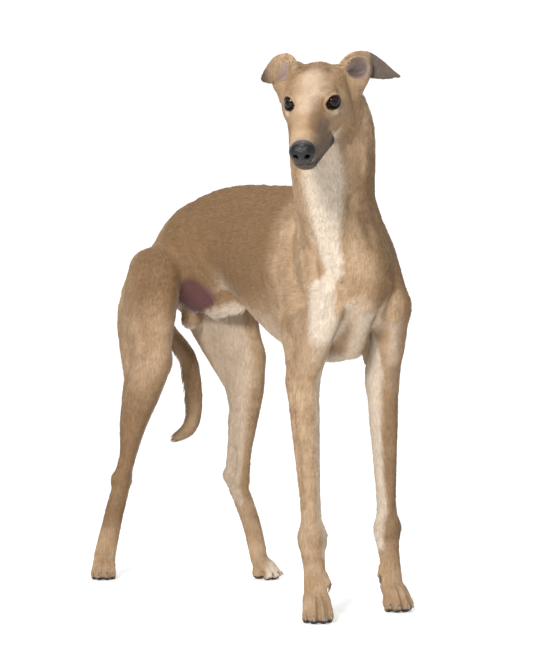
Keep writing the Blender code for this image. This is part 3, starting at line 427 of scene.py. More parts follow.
def slope(p, forms, value, step=0.4 * MM):
    grown = [flesh(p + step * axis, forms) for axis in np.eye(3)]
    gradient = (np.stack(grown, 1) - value[:, None]) / step
    return gradient / np.maximum(np.linalg.norm(gradient, axis=1, keepdims=True), 1e-3)


# Small forms of the surface: lines with a height (a groove's is below zero) and a half width, in millimetres.

def relief_lines():
    lines = []

    def line(points, height, width):
        rows = np.array([np.asarray(p, float) for p in points])
        lines.append((smooth_rows(rows, 4), height * MM, width * MM))

    for s in (-1, 1):
        # Face: groove along the temple, cheekbone, corner of the mouth, vein below the eye
        line([head(-12, s * 17, 18), head(-34, s * 22, 20), head(-60, s * 24, 12)], -1.6, 7)
        line([head(14, s * 30, -13), head(-12, s * 41, -17), head(-40, s * 47, -20)], 1.3, 5)
        line([head(8, s * 32, -30), head(-20, s * 40, -44), head(-44, s * 40, -60)], -1.2, 6)
        line([head(26, s * 25, -8), head(50, s * 21, -16), head(78, s * 19, -24)], 0.7, 2.6)
        line([head(50, s * 26, -30), head(72, s * 23, -31), head(92, s * 20, -31)], 0.8, 4)
        # Neck: groove of the great vein, and the muscle in front of it
        line([(-0.083 + s * 0.045, -0.345, 0.770), (-0.070 + s * 0.043, -0.352, 0.700),
              thorax(0.112, s * 0.028, 0.600), thorax(0.122, s * 0.020, 0.560),
              thorax(0.124, s * 0.012, 0.530)], -1.5, 10)
        line([(-0.083 + s * 0.026, -0.370, 0.765), (-0.066 + s * 0.024, -0.378, 0.690),
              thorax(0.124, s * 0.010, 0.600)], 2.5, 9)
        # Shoulder: spine of the blade, front and rear borders, groove behind the upper arm
        line([thorax(-0.030, s * 0.062, 0.690), thorax(0.030, s * 0.080, 0.600),
              thorax(0.070, s * 0.088, 0.540)], 2.2, 8)
        line([thorax(-0.055, s * 0.070, 0.655), thorax(-0.020, s * 0.090, 0.560),
              thorax(0.020, s * 0.100, 0.500)], -2.2, 9)
        line([thorax(0.050, s * 0.074, 0.640), thorax(0.085, s * 0.080, 0.560)], -2.0, 9)
        line([thorax(0.045, s * 0.097, 0.505), thorax(0.020, s * 0.100, 0.450),
              thorax(0.004, s * 0.098, 0.405)], -2.2, 7)
        line([thorax(-0.088, s * 0.090, 0.580), thorax(-0.085, s * 0.092, 0.500),
              thorax(-0.060, s * 0.090, 0.430)], -2.6, 10)
        # Chest: edge of the breast muscle
        line([thorax(0.118, s * 0.016, 0.520), thorax(0.098, s * 0.034, 0.470),
              thorax(0.060, s * 0.040, 0.430)], -2.0, 8)
        line([thorax(0.122, s * 0.036, 0.545), thorax(0.122, s * 0.044, 0.500),
              thorax(0.098, s * 0.054, 0.450)], 2.6, 10)
        # Ribs
        for i in range(7):
            back = 0.012 + 0.032 * i
            top = thorax(-0.075 - back, s * 0.082, 0.640)
            line([top, thorax(-0.088 - back, s * 0.100, 0.560),
                  thorax(-0.070 - back * 0.86, s * 0.085, 0.480)],
                 1.0 + 0.12 * i, 6.5)
        # Loin and hip bone
        line([(0.030 + s * 0.055, 0.060, 0.740), (0.022 + s * 0.058, 0.150, 0.742),
              (0.018 + s * 0.050, 0.230, 0.728)],
             1.6, 14)
        line([(0.016 + s * 0.062, 0.210, 0.724), (0.016 + s * 0.070, 0.240, 0.706)], 3.0, 11)
        line([(0.014 + s * 0.040, 0.352, 0.640), (0.014 + s * 0.040, 0.372, 0.622)], 3.0, 11)
        # Fold of the flank
        line([(0.030 + s * 0.062, 0.120, 0.585), (0.028 + s * 0.070, 0.150, 0.540),
              (0.020 + s * 0.080, 0.180, 0.480)],
             1.6, 9)
        legs = HIND[s]
        hip, stifle, hock = (np.array(legs[n]) for n in ("hip", "stifle", "hock"))
        out = np.array([s * 1.0, 0, 0])
        toes, left = heading(legs["toes"])
        # Thigh: the groove between the great muscles, the kneecap, the vein and the hamstring's edge
        line([hip + out * 0.050 + [0, 0.050, 0.030], hip * 0.5 + stifle * 0.5 + out * 0.052 + [0, 0.052, 0],
              stifle + out * 0.036 + [0, 0.055, -0.010]], -3.0, 10)
        line([hip + out * 0.050 + [0, -0.035, 0.060],
              hip * 0.5 + stifle * 0.5 + out * 0.050 + [0, -0.010, 0.020],
              stifle + out * 0.036 + [0, -0.004, 0.030]], -1.8, 10)
        line([stifle + out * 0.012 + [0, -0.046, 0.018], stifle + out * 0.012 + [0, -0.048, -0.018]], 1.8, 9)
        shin = hock - stifle
        line([stifle + out * 0.030 + 0.10 * shin, stifle + out * 0.028 + 0.45 * shin,
              stifle + out * 0.016 + 0.8 * shin],
             -1.4, 6)
        line([stifle + out * 0.026 + 0.30 * shin + [0, 0.02, 0],
              stifle + out * 0.022 + 0.6 * shin + [0, -0.002, 0],
              hock + out * 0.014 + [0, -0.012, 0.03]], 1.3, 2.6)
        for w in (-1, 1):
            line([hock + left * w * 0.016 - toes * 0.010 + [0, 0, 0.060],
                  hock + left * w * 0.016 - toes * 0.012
                  + [0, 0, 0.020]], -3.0, 6)
            line([hock + left * w * 0.016 + [0, 0, 0.010], hock + left * w * 0.017 + [0, 0, -0.006]], 1.8, 7)
        paw = np.array([*legs["paw"], FLOOR_Z])
        for w in (-6, 0, 6):
            line([hock + toes * 0.018 + left * w * MM - [0, 0, 0.02], paw + toes * 0.006 + left * w * 1.5 * MM
                  + [0, 0, 0.058]], 0.7 if w else 0.9, 2.6)
        legs = FORE[s]
        elbow, carpus = thorax(0, s * ELBOW_HALF, ELBOW_Z), np.array(legs["carpus"])
        toes, left = heading(legs["toes"])
        down = carpus - elbow
        # Forearm: the long muscles in front, their grooves, the vein across, the wrist's bones
        line([elbow + out * 0.026 + 0.05 * down, elbow + out * 0.022 + 0.4 * down,
              elbow + out * 0.017 + 0.8 * down],
             -2.0, 5.5)
        line([elbow + toes * 0.022 + out * 0.012 + 0.1 * down,
              elbow + toes * 0.020 + out * 0.008 + 0.5 * down,
              elbow + toes * 0.015 + 0.85 * down], 1.5, 6)
        line([elbow - out * 0.020 + toes * 0.010 + 0.08 * down,
              elbow - out * 0.012 + toes * 0.018 + 0.5 * down,
              carpus + toes * 0.018 - out * 0.004 + [0, 0, 0.03]], 1.2, 2.6)
        line([elbow - toes * 0.018 + out * 0.016 + 0.1 * down,
              elbow - toes * 0.016 + out * 0.010 + 0.6 * down,
              carpus - toes * 0.016 + [0, 0, 0.03]], -1.5, 5)
        for w in (-1, 1):
            line([carpus + left * w * 0.018 + [0, 0, 0.010], carpus + left * w * 0.018 - [0, 0, 0.006]],
                 2.0, 7)
        line([carpus + toes * 0.018 + left * 0.012 - [0, 0, 0.012], carpus + toes * 0.018 - left * 0.012
              - [0, 0, 0.012]], -1.2, 4)
        paw = np.array([*legs["paw"], FLOOR_Z])
        for w in (-6, 0, 6):
            line([carpus + toes * 0.016 + left * w * MM - [0, 0, 0.02],
                  paw + toes * 0.006 + left * w * 1.5 * MM
                  + [0, 0, 0.058]], 0.7 if w else 0.9, 2.6)
    for legs, scale in ((FORE, FORE_PAW), (HIND, HIND_PAW)):
        for s in (-1, 1):
            toes, left = heading(legs[s]["toes"])
            paw = np.array([*legs[s]["paw"], FLOOR_Z])
            for w in (-11, 0, 11):
                side = left * w * scale * MM
                line([paw + toes * 0.010 + side * 0.7 + [0, 0, 0.046],
                      paw + toes * 0.028 + side + [0, 0, 0.032],
                      paw + toes * 0.040 * scale + side + [0, 0, 0.014]], -2.0, 2.4)
    # Front of the chest: grooves beside the throat, breastbone's point, groove between the breast muscles
    line([thorax(0.149, -0.037, 0.680), thorax(0.141, -0.046, 0.640), thorax(0.134, -0.047, 0.600),
          thorax(0.130, -0.040, 0.566)], -3.2, 8)
    line([thorax(0.090, -0.084, 0.618), thorax(0.084, -0.080, 0.582), thorax(0.092, -0.079, 0.549)], -2.6, 9)
    line([thorax(0.131, -0.052, 0.575), thorax(0.129, -0.052, 0.560)], 3.0, 10)
    line([thorax(0.127, -0.049, 0.545), thorax(0.121, -0.055, 0.530), thorax(0.119, -0.064, 0.510),
          thorax(0.111, -0.072, 0.488)], -3.4, 8)
    # Forehead furrow, windpipe, breastbone, spine
    line([head(6, 0, 16), head(-24, 0, 22), head(-60, 0, 10)], -1.5, 5)
    line([head(118, 0, -37), head(116, 0, -46)], -1.6, 2.0)
    line([(-0.112, -0.400, 0.745), (-0.092, -0.392, 0.690), thorax(0.122, 0, 0.590)], 2.0, 10)
    line([(0.042, 0.010, 0.752), (0.035, 0.095, 0.760), (0.025, 0.175, 0.755), (0.015, 0.250, 0.735)], -1.0,
         7)
    for x, z in ((40, -12), (58, -15), (76, -18)):
        line([head(x, -6, z + 24), head(x + 3, 6, z + 24)], 0.35, 5)
    return lines


def line_distance(p, rows):
    """How far each point is from a line of points, for the points near it, and which those are."""
    reach = 0.045
    near = np.flatnonzero(((p > rows.min(0) - reach) & (p < rows.max(0) + reach)).all(1))
    best = np.full(len(near), 1.0)
    for a, b in zip(rows[:-1], rows[1:]):
        off, axis = p[near] - a, b - a
        t = np.clip(off @ axis / (axis @ axis), 0, 1)[:, None]
        best = np.minimum(best, np.linalg.norm(off - t * axis, axis=1))
    return near, best


def relief(p):
    """How far the small forms raise each point, in metres."""
    rise = np.zeros(len(p))
    for rows, height, width in relief_lines():
        near, far = line_distance(p, rows)
        rise[near] += RELIEF_GAIN * height * np.exp(-((far / width) ** 2))
    return rise


def smoothstep(low, high, value):
    t = np.clip((value - low) / (high - low), 0, 1)
    return t * t * (3 - 2 * t)


def on_head(p):
    """Places on the head in millimetres, forward, left and up."""
    return (p - HEAD_AT) @ np.stack(HEAD_AXES, 1) / MM


def coat_depth(p, deep, shallow):
    """How deep the skin lies below the fur's outer face: least on the face and the feet."""
    face = 1 - smoothstep(0.09, 0.16, np.linalg.norm(p - head(20, 0, -20), axis=1))
    feet = 1 - smoothstep(FLOOR_Z + 0.07, FLOOR_Z + 0.15, p[:, 2])
    return deep + (shallow - deep) * np.maximum(face, feet)


def apply_modifiers(obj):
    bpy.ops.object.select_all(action="DESELECT")
    obj.select_set(True)
    bpy.context.view_layer.objects.active = obj
    for modifier in list(obj.modifiers):
        bpy.ops.object.modifier_apply(modifier=modifier.name)


def ball_template():
    bm = bmesh.new()
    bmesh.ops.create_icosphere(bm, subdivisions=2, radius=1.0)
    corners = np.array([v.co[:] for v in bm.verts])
    faces = np.array([[v.index for v in f.verts] for f in bm.faces])
    bm.free()
    return corners, faces


def clay(forms):
    """A lump of balls strung along every form, close enough together to be fused."""
    corners, faces = ball_template()
    points, triangles = [], []
    for form in forms:
        for a, b in zip(form.rows[:-1], form.rows[1:]):
            along = unit(b[:3] - a[:3])
            side, up = form.across(along)
            smallest = min(a[3:].min(), b[3:].min())
            count = max(1, math.ceil(np.linalg.norm(b[:3] - a[:3]) / (0.5 * smallest)))
            for t in np.linspace(0, 1, count + 1):
                row = a + (b - a) * t
                size = np.array([row[3], row[4:].mean(), min(row[3], row[4:].mean())])
                centre = row[:3] + up * (row[4] - row[5]) / 2
                triangles.append(faces + len(corners) * len(points))
                points.append(centre + (corners * size) @ np.stack([side, up, along]))
    return new_object("skin", np.vstack(points), np.vstack(triangles))


def new_object(name, points, faces):
    mesh = bpy.data.meshes.new(name)
    mesh.from_pydata(np.asarray(points).tolist(), [], [list(map(int, f)) for f in faces])
    obj = bpy.data.objects.new(name, mesh)
    bpy.context.scene.collection.objects.link(obj)
    return obj


def corners_of(obj):
    points = np.empty(len(obj.data.vertices) * 3, np.float32)
    obj.data.vertices.foreach_get("co", points)
    return points.reshape(-1, 3).astype(float)


def edges_of(obj):
    edges = np.empty(len(obj.data.edges) * 2, np.int32)
    obj.data.edges.foreach_get("vertices", edges)
    return edges.reshape(-1, 2)


def move_to(obj, points):
    obj.data.vertices.foreach_set("co", points.astype(np.float32).ravel())
    obj.data.update()


def relax(points, edges, amount, weight=None):
    total = np.zeros_like(points)
    for axis in range(3):
        total[:, axis] = (np.bincount(edges[:, 0], points[edges[:, 1], axis], len(points))
                          + np.bincount(edges[:, 1], points[edges[:, 0], axis], len(points)))
    count = np.bincount(edges.ravel(), minlength=len(points))[:, None]
    step = amount * (total / np.maximum(count, 1) - points)
    return points + (step if weight is None else step * weight[:, None])


def settle(obj, forms, rounds, deep, shallow):
    """Moves every vertex onto the skin, which lies under the outer face of the fur."""
    points, edges = corners_of(obj), edges_of(obj)
    for i in range(rounds):
        if i < rounds - 1:
            points = relax(points, edges, 0.5)
        value = flesh(points, forms) + coat_depth(points, deep, shallow)
        points -= np.clip(value, -4 * MM, 4 * MM)[:, None] * slope(points, forms, value - coat_depth(
            points, deep, shallow))
    move_to(obj, points)


def refine(obj, spots):
    """Divides the faces near each spot, a centre and radius, once more."""
    bm = bmesh.new()
    bm.from_mesh(obj.data)
    middles = np.array([f.calc_center_median()[:] for f in bm.faces])
    chosen = np.zeros(len(middles), bool)
    for centre, radius in spots:
        chosen |= np.linalg.norm(middles - centre, axis=1) < radius
    edges = {edge for face, pick in zip(bm.faces, chosen) if pick for edge in face.edges}
    bmesh.ops.subdivide_edges(bm, edges=list(edges), cuts=1, use_grid_fill=True)
    bmesh.ops.triangulate(bm, faces=[f for f in bm.faces if len(f.verts) > 4])
    bm.to_mesh(obj.data)
    bm.free()


def solid(name, points, faces):
    """A closed mesh object with its faces turned outwards."""
    obj = new_object(name, points, faces)
    bm = bmesh.new()
    bm.from_mesh(obj.data)
    bmesh.ops.recalc_face_normals(bm, faces=bm.faces)
    if bm.calc_volume(signed=True) < 0:
        bmesh.ops.reverse_faces(bm, faces=bm.faces)
    bm.to_mesh(obj.data)
    bm.free()
    return obj


def tube(name, rings):
    """A closed solid through rings of points, all with the same number of points."""
    rings = np.array(rings)
    count, around = rings.shape[:2]
    points = [*rings.reshape(-1, 3), rings[0].mean(0), rings[-1].mean(0)]
    faces = []
    for i in range(count - 1):
        for j in range(around):
            k = (j + 1) % around
            faces.append((i * around + j, i * around + k, (i + 1) * around + k, (i + 1) * around + j))
    first, last = count * around, count * around + 1
    for j in range(around):
        k = (j + 1) % around
        faces.append((first, k, j))
        faces.append((last, (count - 1) * around + j, (count - 1) * around + k))
    return solid(name, points, faces)


def circle(centre, one, other, count):
    turns = np.arange(count) * 2 * math.pi / count
    return centre + np.outer(np.cos(turns), one) + np.outer(np.sin(turns), other)


def boolean(obj, others, operation):
    """Joins or cuts `obj` with the others, which are then removed."""
    group = bpy.data.collections.new("tools")
    for other in others:
        for home in list(other.users_collection):
            home.objects.unlink(other)
        group.objects.link(other)
    bpy.context.scene.collection.children.link(group)
    step = obj.modifiers.new("step", "BOOLEAN")
    step.operation = operation
    step.operand_type = "COLLECTION"
    step.collection = group
    step.solver = "MANIFOLD"
    apply_modifiers(obj)
    for other in others:
        bpy.data.objects.remove(other)
    bpy.data.collections.remove(group)


def eye_axes(s):
    """The eye's centre, and unit vectors sideways, up and the way it looks."""
    x, y, z = EYE_AT
    look = head_way(EYE_AXIS[0], s * EYE_AXIS[1], EYE_AXIS[2])
    crown = unit(HEAD_AXES[2] - (HEAD_AXES[2] @ look) * look)
    return head(x, s * y, z), np.cross(crown, look), crown, look


def globe(name, centre, radius, axes, detail):
    bm = bmesh.new()
    bmesh.ops.create_icosphere(bm, subdivisions=detail, radius=1.0)
    corners = np.array([v.co[:] for v in bm.verts])
    faces = [[v.index for v in f.verts] for f in bm.faces]
    bm.free()
    return solid(name, corners * radius @ np.array(axes) + centre, faces)


def eye_hole(s):
    """The hole an eye sits in and the almond opening between its lids."""
    centre, side, crown, look = eye_axes(s)
    half, high = np.array(EYE_OPENING) * MM
    turns = np.arange(48) * 2 * math.pi / 48
    rings = []
    for h, grow in ((0.004, 0.90), (0.009, 0.98), (0.012, 1.10), (0.020, 1.50)):
        x = np.cos(turns)
        y = np.sin(turns) * (1 - 0.28 * np.abs(x) ** 2.4)
        rings.append(centre + look * h + np.outer(x * grow * half, side) + np.outer(y * grow * high, crown))
    return [globe("socket", centre, EYE_RADIUS + 0.25 * MM, (side, crown, look), 4), tube("opening", rings)]


def nostrils():
    cutters = []
    for s in (-1, 1):
        rings = []
        for x, y, z, wide, high in ((112, 6.0, -21, 1.6, 2.0), (122, 6.6, -22.5, 3.0, 3.4),
                                    (130, 8.0, -24.5, 4.2, 4.0),
                                    (137, 10.5, -25, 5.4, 4.4), (146, 13.5, -25, 6.5, 5.0)):
            rings.append(circle(head(x, s * y, z), HEAD_AXES[1] * wide * MM, HEAD_AXES[2] * high * MM, 24))
        cutters.append(tube("nostril", rings))
        slit = [circle(head(x, s * y, z), HEAD_AXES[0] * 3.0 * MM, HEAD_AXES[2] * 1.0 * MM, 12)
                for x, y, z in ((126, 9, -27), (121, 16, -29.5), (115, 24, -31))]
        cutters.append(tube("slit", slit))
    return cutters


# Ears, on the head in millimetres, the left one with y to the left
CUP = [((-54, 30, -22), (-0.2, 0.7, 0.6), (24, 30)), ((-66, 48, -6), (0.1, 0.7, 0.65), (25, 28)),
       ((-76, 60, 9), (0.5, 0.55, 0.6), (25, 25)), ((-80, 66, 19), (0.78, 0.38, 0.5), (24.5, 21.5))]
CUP_WALL = 3.4
CUP_FLOOR = 15
FLAP = {
    1: {"crest": [(-76, 36, 30), (-88, 44, 35), (-100, 56, 38), (-107, 70, 37), (-108, 85, 32),
                  (-100, 104, 21),
                  (-90, 120, 10), (-83, 131, 3)],
        "hem": [(-80, 40, 8), (-86, 52, 4), (-90, 66, 0), (-90, 79, -3), (-88, 93, -5), (-86, 107, -5),
                (-84, 121, -3), (-82, 131, -1)]},
    -1: {"crest": [(-76, -30, 30), (-88, -36, 36), (-97, -45, 40), (-98, -58, 41), (-93, -71, 38),
                   (-82, -80, 31),
                   (-71, -86, 24), (-62, -90, 17)],
         "hem": [(-80, -34, 10), (-82, -42, 6), (-82, -52, 3), (-78, -63, 2), (-72, -71, 2), (-67, -78, 3),
                 (-63, -84, 7), (-60, -90, 13)]},
}


def ear(s):
    """One ear: a cup open to the front, and the flap that folds over behind it and out to the side."""
    outer, inner = [], []
    up = HEAD_AXES[2]
    for (x, y, z), (nx, ny, nz), (wide, high) in CUP:
        centre, normal = head(x, s * y * (0.94 if s < 0 else 1), z), head_way(nx, s * ny, nz)
        across = unit(np.cross(up, normal))
        rise = np.cross(normal, across)
        outer.append(circle(centre, across * wide * MM, rise * high * MM, 40))
        inner.append(circle(centre, across * (wide - CUP_WALL) * MM, rise * (high - CUP_WALL) * MM, 40))
    deep = inner[-1] * 0.25 + inner[-1].mean(0) * 0.75 - normal * CUP_FLOOR * MM
    cup = tube("ear", [*outer, inner[-1], inner[-1] * 0.8 + inner[-1].mean(0) * 0.2 - normal * 6 * MM, deep])
    rows = FLAP[s]
    crest, hem = (smooth_rows(np.array([head(*p) for p in rows[k]]), 4) for k in ("crest", "hem"))
    lean = []
    for i, (top, low) in enumerate(zip(crest, hem)):
        share = i / (len(crest) - 1)
        run = unit(crest[min(i + 1, len(crest) - 1)] - crest[max(i - 1, 0)])
        bulge = np.cross(run, unit(low - top + 1e-6)) * -s
        thick = (4.2 - 1.8 * share) * MM
        swell = 5.0 * MM * (1 - share)
        front, back = [], []
        for t in np.linspace(0, 1, 13):
            middle = top + (low - top) * t + bulge * swell * math.sin(math.pi * t)
            edge = 0.55 if t in (0, 1) else 1
            front.append(middle + bulge * thick / 2 * edge)
            back.append(middle - bulge * thick / 2 * edge)
        lean.append(front + back[::-1])
    flap = tube("flap", lean)
    boolean(cup, [flap], "UNION")
    fuse = cup.modifiers.new("fuse", "REMESH")
    fuse.mode = "VOXEL"
    fuse.voxel_size = EAR_VOXEL
    soften = cup.modifiers.new("soften", "SMOOTH")
    soften.iterations = 5
    apply_modifiers(cup)
    thin = cup.modifiers.new("thin", "DECIMATE")
    thin.ratio = EAR_FACES / (2 * len(cup.data.polygons))
    apply_modifiers(cup)
    return cup


def merge_seam(obj, spots, reach, rounds):
    """Smooths the mesh near each of the spots."""
    points, edges = corners_of(obj), edges_of(obj)
    weight = np.zeros(len(points))
    for spot in spots:
        weight = np.maximum(weight, 1 - smoothstep(reach * 0.4, reach, np.linalg.norm(points - spot, axis=1)))
    for _ in range(rounds):
        points = relax(points, edges, 0.5, weight)
    move_to(obj, points)


def weld_ears(skin):
    """Joins both ears to the skin and rounds off the line where they meet it."""
    before = corners_of(skin)
    tree = KDTree(len(before))
    for i, p in enumerate(before):
        tree.insert(p, i)
    tree.balance()
    boolean(skin, [ear(s) for s in (-1, 1)], "UNION")
    points, edges = corners_of(skin), edges_of(skin)
    near = np.flatnonzero(np.linalg.norm(points - head(-70, 0, 0), axis=1) < 0.12)
    old = np.ones(len(points), bool)
    for i in near:
        old[i] = tree.find(points[i])[2] < 0.05 * MM
    seam = np.zeros(len(points))
    mixed = old[edges[:, 0]] != old[edges[:, 1]]
    seam[edges[mixed].ravel()] = 1
    weight = seam
    for _ in range(6):
        spread = np.zeros(len(points))
        np.maximum.at(spread, edges[:, 0], weight[edges[:, 1]] * 0.86)
        np.maximum.at(spread, edges[:, 1], weight[edges[:, 0]] * 0.86)
        weight = np.maximum(weight, spread)
    weight[weight < 0.4] = 0
    for _ in range(8):
        points = relax(points, edges, 0.5, weight)
    move_to(skin, points)


def cut_floor(obj):
    points = corners_of(obj)
    points[:, 2] = np.maximum(points[:, 2], FLOOR_Z + 0.05 * MM)
    move_to(obj, points)


def mouth_line():
    """The line between the lips, on the head in millimetres, from under the nose back to the corner."""
    return [(121, 0, -44.5), (114, 13, -44), (100, 20, -46), (82, 25, -49), (64, 29, -51), (46, 33, -52),
            (37, 35, -50)]


def make_skin(deep, shallow):
    forms = all_forms()
    skin = clay(forms)
    fuse = skin.modifiers.new("fuse", "REMESH")
    fuse.mode = "VOXEL"
    fuse.voxel_size = VOXEL
    apply_modifiers(skin)
    settle(skin, forms, 5, deep, shallow)
    feet = [(np.array([*legs[s]["paw"], 0.012]), 0.062) for legs in (FORE, HIND) for s in (-1, 1)]
    refine(skin, [(head(0, 0, -20), 0.155), *feet])
    settle(skin, forms, 2, deep, shallow)
    refine(skin, [(head(48, 0, -25), 0.098)])
    settle(skin, forms, 2, deep, shallow)
    points = corners_of(skin)
    value = flesh(points, forms)
    points += slope(points, forms, value) * relief(points)[:, None]
    points += slope(points, forms, value) * lip_relief(points)[:, None]
    move_to(skin, points)
    boolean(skin, [*eye_hole(-1), *eye_hole(1), *nostrils()], "DIFFERENCE")
    weld_ears(skin)
    spots = [eye_axes(s)[0] + eye_axes(s)[3] * EYE_RADIUS for s in (-1, 1)]
    merge_seam(skin, spots, 0.017, 2)
    merge_seam(skin, [head(134, 9, -25), head(134, -9, -25)], 0.012, 2)
    cut_floor(skin)
    return skin


def lip_relief(p):
    """The groove between the lips, and the lids' folds."""
    rise = np.zeros(len(p))
    for s in (-1, 1):
        rows = smooth_rows(np.array([head(x, s * y, z) for x, y, z in mouth_line()]), 4)
        near, far = line_distance(p, rows)
        rise[near] -= 2.6 * MM * np.exp(-((far / (1.7 * MM)) ** 2))
        rise[near] += 0.9 * MM * np.exp(-(((far - 4.5 * MM) / (2.6 * MM)) ** 2))
        centre, side, crown, look = eye_axes(s)
        off = p - centre
        ahead = off @ look
        half, high = np.array(EYE_OPENING) * MM
        x, y = off @ side / half, off @ crown / high
        ring = np.hypot(x, y)
        fold = np.exp(-(((ring - 1.55) / 0.13) ** 2)) * (ahead > 0) * (np.linalg.norm(off, axis=1) < 0.03)
        rise -= 1.3 * MM * fold * np.where(y > 0, 1.0, 0.7)
        lid = np.exp(-(((ring - 1.18) / 0.16) ** 2)) * (ahead > 0) * (np.linalg.norm(off, axis=1) < 0.03)
        rise += 0.7 * MM * lid
    return rise


# Markings, with painted shade among them

def blot(p, places, reach):
    """One near a line of places and none past its reach, both in metres."""
    near, far = line_distance(p, np.array([np.asarray(q, float) for q in places]))
    value = np.zeros(len(p))
    value[near] = 1 - smoothstep(0.25 * reach, reach, far)
    return value


def markings(p, normals):
    """The share of each of MARKS at each point, some of them painted shade."""
    h = on_head(p)
    x, y, z = h.T
    size = np.abs(y)
    low = p[:, 2] - FLOOR_Z
    marks = {}
    # Cream: throat, front of the neck, chest, belly, insides of the legs, toes
    _, side = heading(THORAX_HEADING)
    facing_down = -normals[:, 2]
    rows = np.array(THROAT)
    centre, half = (np.interp(p[:, 2], rows[:, 0], rows[:, k]) for k in (1, 2))
    toward = normals @ unit((-0.57, -0.82, 0))
    throat = 1 - smoothstep(0.35, 1.55, np.abs(p @ THROAT_ACROSS - centre) / half)
    throat *= smoothstep(0.0, 0.4, toward) * smoothstep(0.42, 0.47, p[:, 2])
    throat *= (p[:, 1] < -0.22) & (p[:, 2] < 0.82)
    under_jaw = (x > -70) & (x < 120) & (size < 45) & (z > -48)
    throat[under_jaw] = 0
    chest = blot(p, [thorax(0.105, -0.012, 0.480), thorax(0.06, 0, 0.428)], 0.055)
    chest *= 1 - smoothstep(0.120, 0.150, p @ THROAT_ACROSS)
    belly = smoothstep(0.25, 0.85, facing_down) * smoothstep(0.40, 0.44, low)
    belly *= 1 - smoothstep(0.60, 0.66, low)
    inner, bluish = np.zeros(len(p)), np.zeros(len(p))
    for s in (-1, 1):
        elbow = thorax(0, s * ELBOW_HALF, ELBOW_Z)
        near, far = line_distance(p, np.array([thorax(0.03, s * 0.02, 0.45), elbow, FORE[s]["carpus"]]))
        inwards = normals[near] @ (-s * side)
        inner[near] = np.maximum(inner[near],
                                 (1 - smoothstep(0.030, 0.042, far)) * smoothstep(0.1, 0.8, inwards) * 0.75)
        hip, stifle, hock = (np.array(HIND[s][n]) for n in ("hip", "stifle", "hock"))
        near, far = line_distance(p, np.array([hip, stifle, hock]))
        inwards = normals[near] @ np.array([-s, 0.0, 0.0])
        inner[near] = np.maximum(inner[near],
                                 (1 - smoothstep(0.07, 0.11, far)) * smoothstep(0.1, 0.8, inwards) * 0.5)
        bluish[near] = np.maximum(bluish[near],
                                  (1 - smoothstep(0.07, 0.11, far)) * smoothstep(0.2, 0.9, inwards) * 0.22)
    tips = np.zeros(len(p))
    for legs, amounts in ((FORE, {-1: 0.08, 1: 0.08}), (HIND, {-1: 0.12, 1: 0.95})):
        for s, amount in amounts.items():
            forward_toes, _ = heading(legs[s]["toes"])
            paw = np.array([*legs[s]["paw"], FLOOR_Z])
            near = np.linalg.norm((p - paw)[:, :2], axis=1) < 0.06
            ahead = (p - paw) @ forward_toes
            tips = np.maximum(tips, amount * near * smoothstep(0.008, 0.030, ahead) * (low < 0.05))
    under_eye = np.zeros(len(p))
    for s in (-1, 1):
        centre, across, crown, look = eye_axes(s)
        off = (p - centre) / MM
        under = np.exp(-(((off @ crown + 15) / 5) ** 2) - ((off @ across) / 12) ** 2)
        under_eye = np.maximum(under_eye, under * (np.linalg.norm(off, axis=1) < 30))
    sheath = blot(p, [(0.030, 0.205, 0.510), (0.034, 0.125, 0.512)], 0.030)
    blaze = blot(p, [head(34, -4, 12), head(-4, 0, 18), head(-34, 2, 30)], 0.034)
    marks["pale"] = np.clip(np.maximum.reduce([throat, chest * 0.7, belly * 0.7, inner, tips, under_eye * 0.6,
                                               sheath * 0.95, blaze * 0.38]), 0, 1)
    # Darker fawn: back and flanks, crown of the head, top of the tail; and painted shade on the side of the neck
    # and chest away from the key lamp, on the lower legs and down the muzzle's left side
    flank = smoothstep(-0.16, -0.06, p[:, 1]) * (1 - smoothstep(0.22, 0.36, p[:, 1]))
    flank *= smoothstep(0.46, 0.56, p[:, 2])
    back = smoothstep(0.2, 0.9, normals[:, 2]) * smoothstep(0.55, 0.66, p[:, 2])
    cheek = smoothstep(16, 34, size) * smoothstep(-90, -60, x) * (x < 60)
    cheek *= np.linalg.norm(p - head(-20, 0, 0), axis=1) < 0.1
    # The lower legs darker by a set share for each leg: partly the legs' own darker fawn, partly painted shade, as
    # on the foreleg on the dog's left, away from the key lamp
    legs_dark_and_shade = (1 - smoothstep(0.30, 0.46, p[:, 2])) * smoothstep(0.05, 0.12, p[:, 2])
    legs_dark_and_shade *= np.where(p[:, 1] > 0.05, np.where(p[:, 0] < 0, 0.75, 0.35),
                          np.where(p[:, 0] < 0.02, 0.1, 0.6))
    crown = blot(p, [head(-62, -12, 34), head(-62, 14, 34), head(-88, 0, 24)], 0.032)
    # Painted shade: darker fawn on the neck and chest where they turn to the camera's right, away from the key lamp
    shaded = smoothstep(0.05, 0.7, normals @ THROAT_ACROSS) * smoothstep(0.44, 0.52, p[:, 2])
    shaded *= p[:, 1] < -0.20
    shaded *= 1 - smoothstep(0.74, 0.80, p[:, 2])
    # A dark streak down the left side of the muzzle's bridge: partly the dog's own streak, partly painted shade on
    # the side away from the key lamp
    bridge_streak_and_shade = blot(p, [head(20, 13, 8), head(44, 13, 0), head(72, 14, -10)], 0.022)
    marks["dark"] = np.clip(np.maximum.reduce([flank * 0.85, back * 0.7 * (p[:, 1] > -0.2), cheek * 0.5,
                                               crown * 0.7,
                                               bridge_streak_and_shade * 0.8, shaded * 0.6, legs_dark_and_shade]), 0, 1)
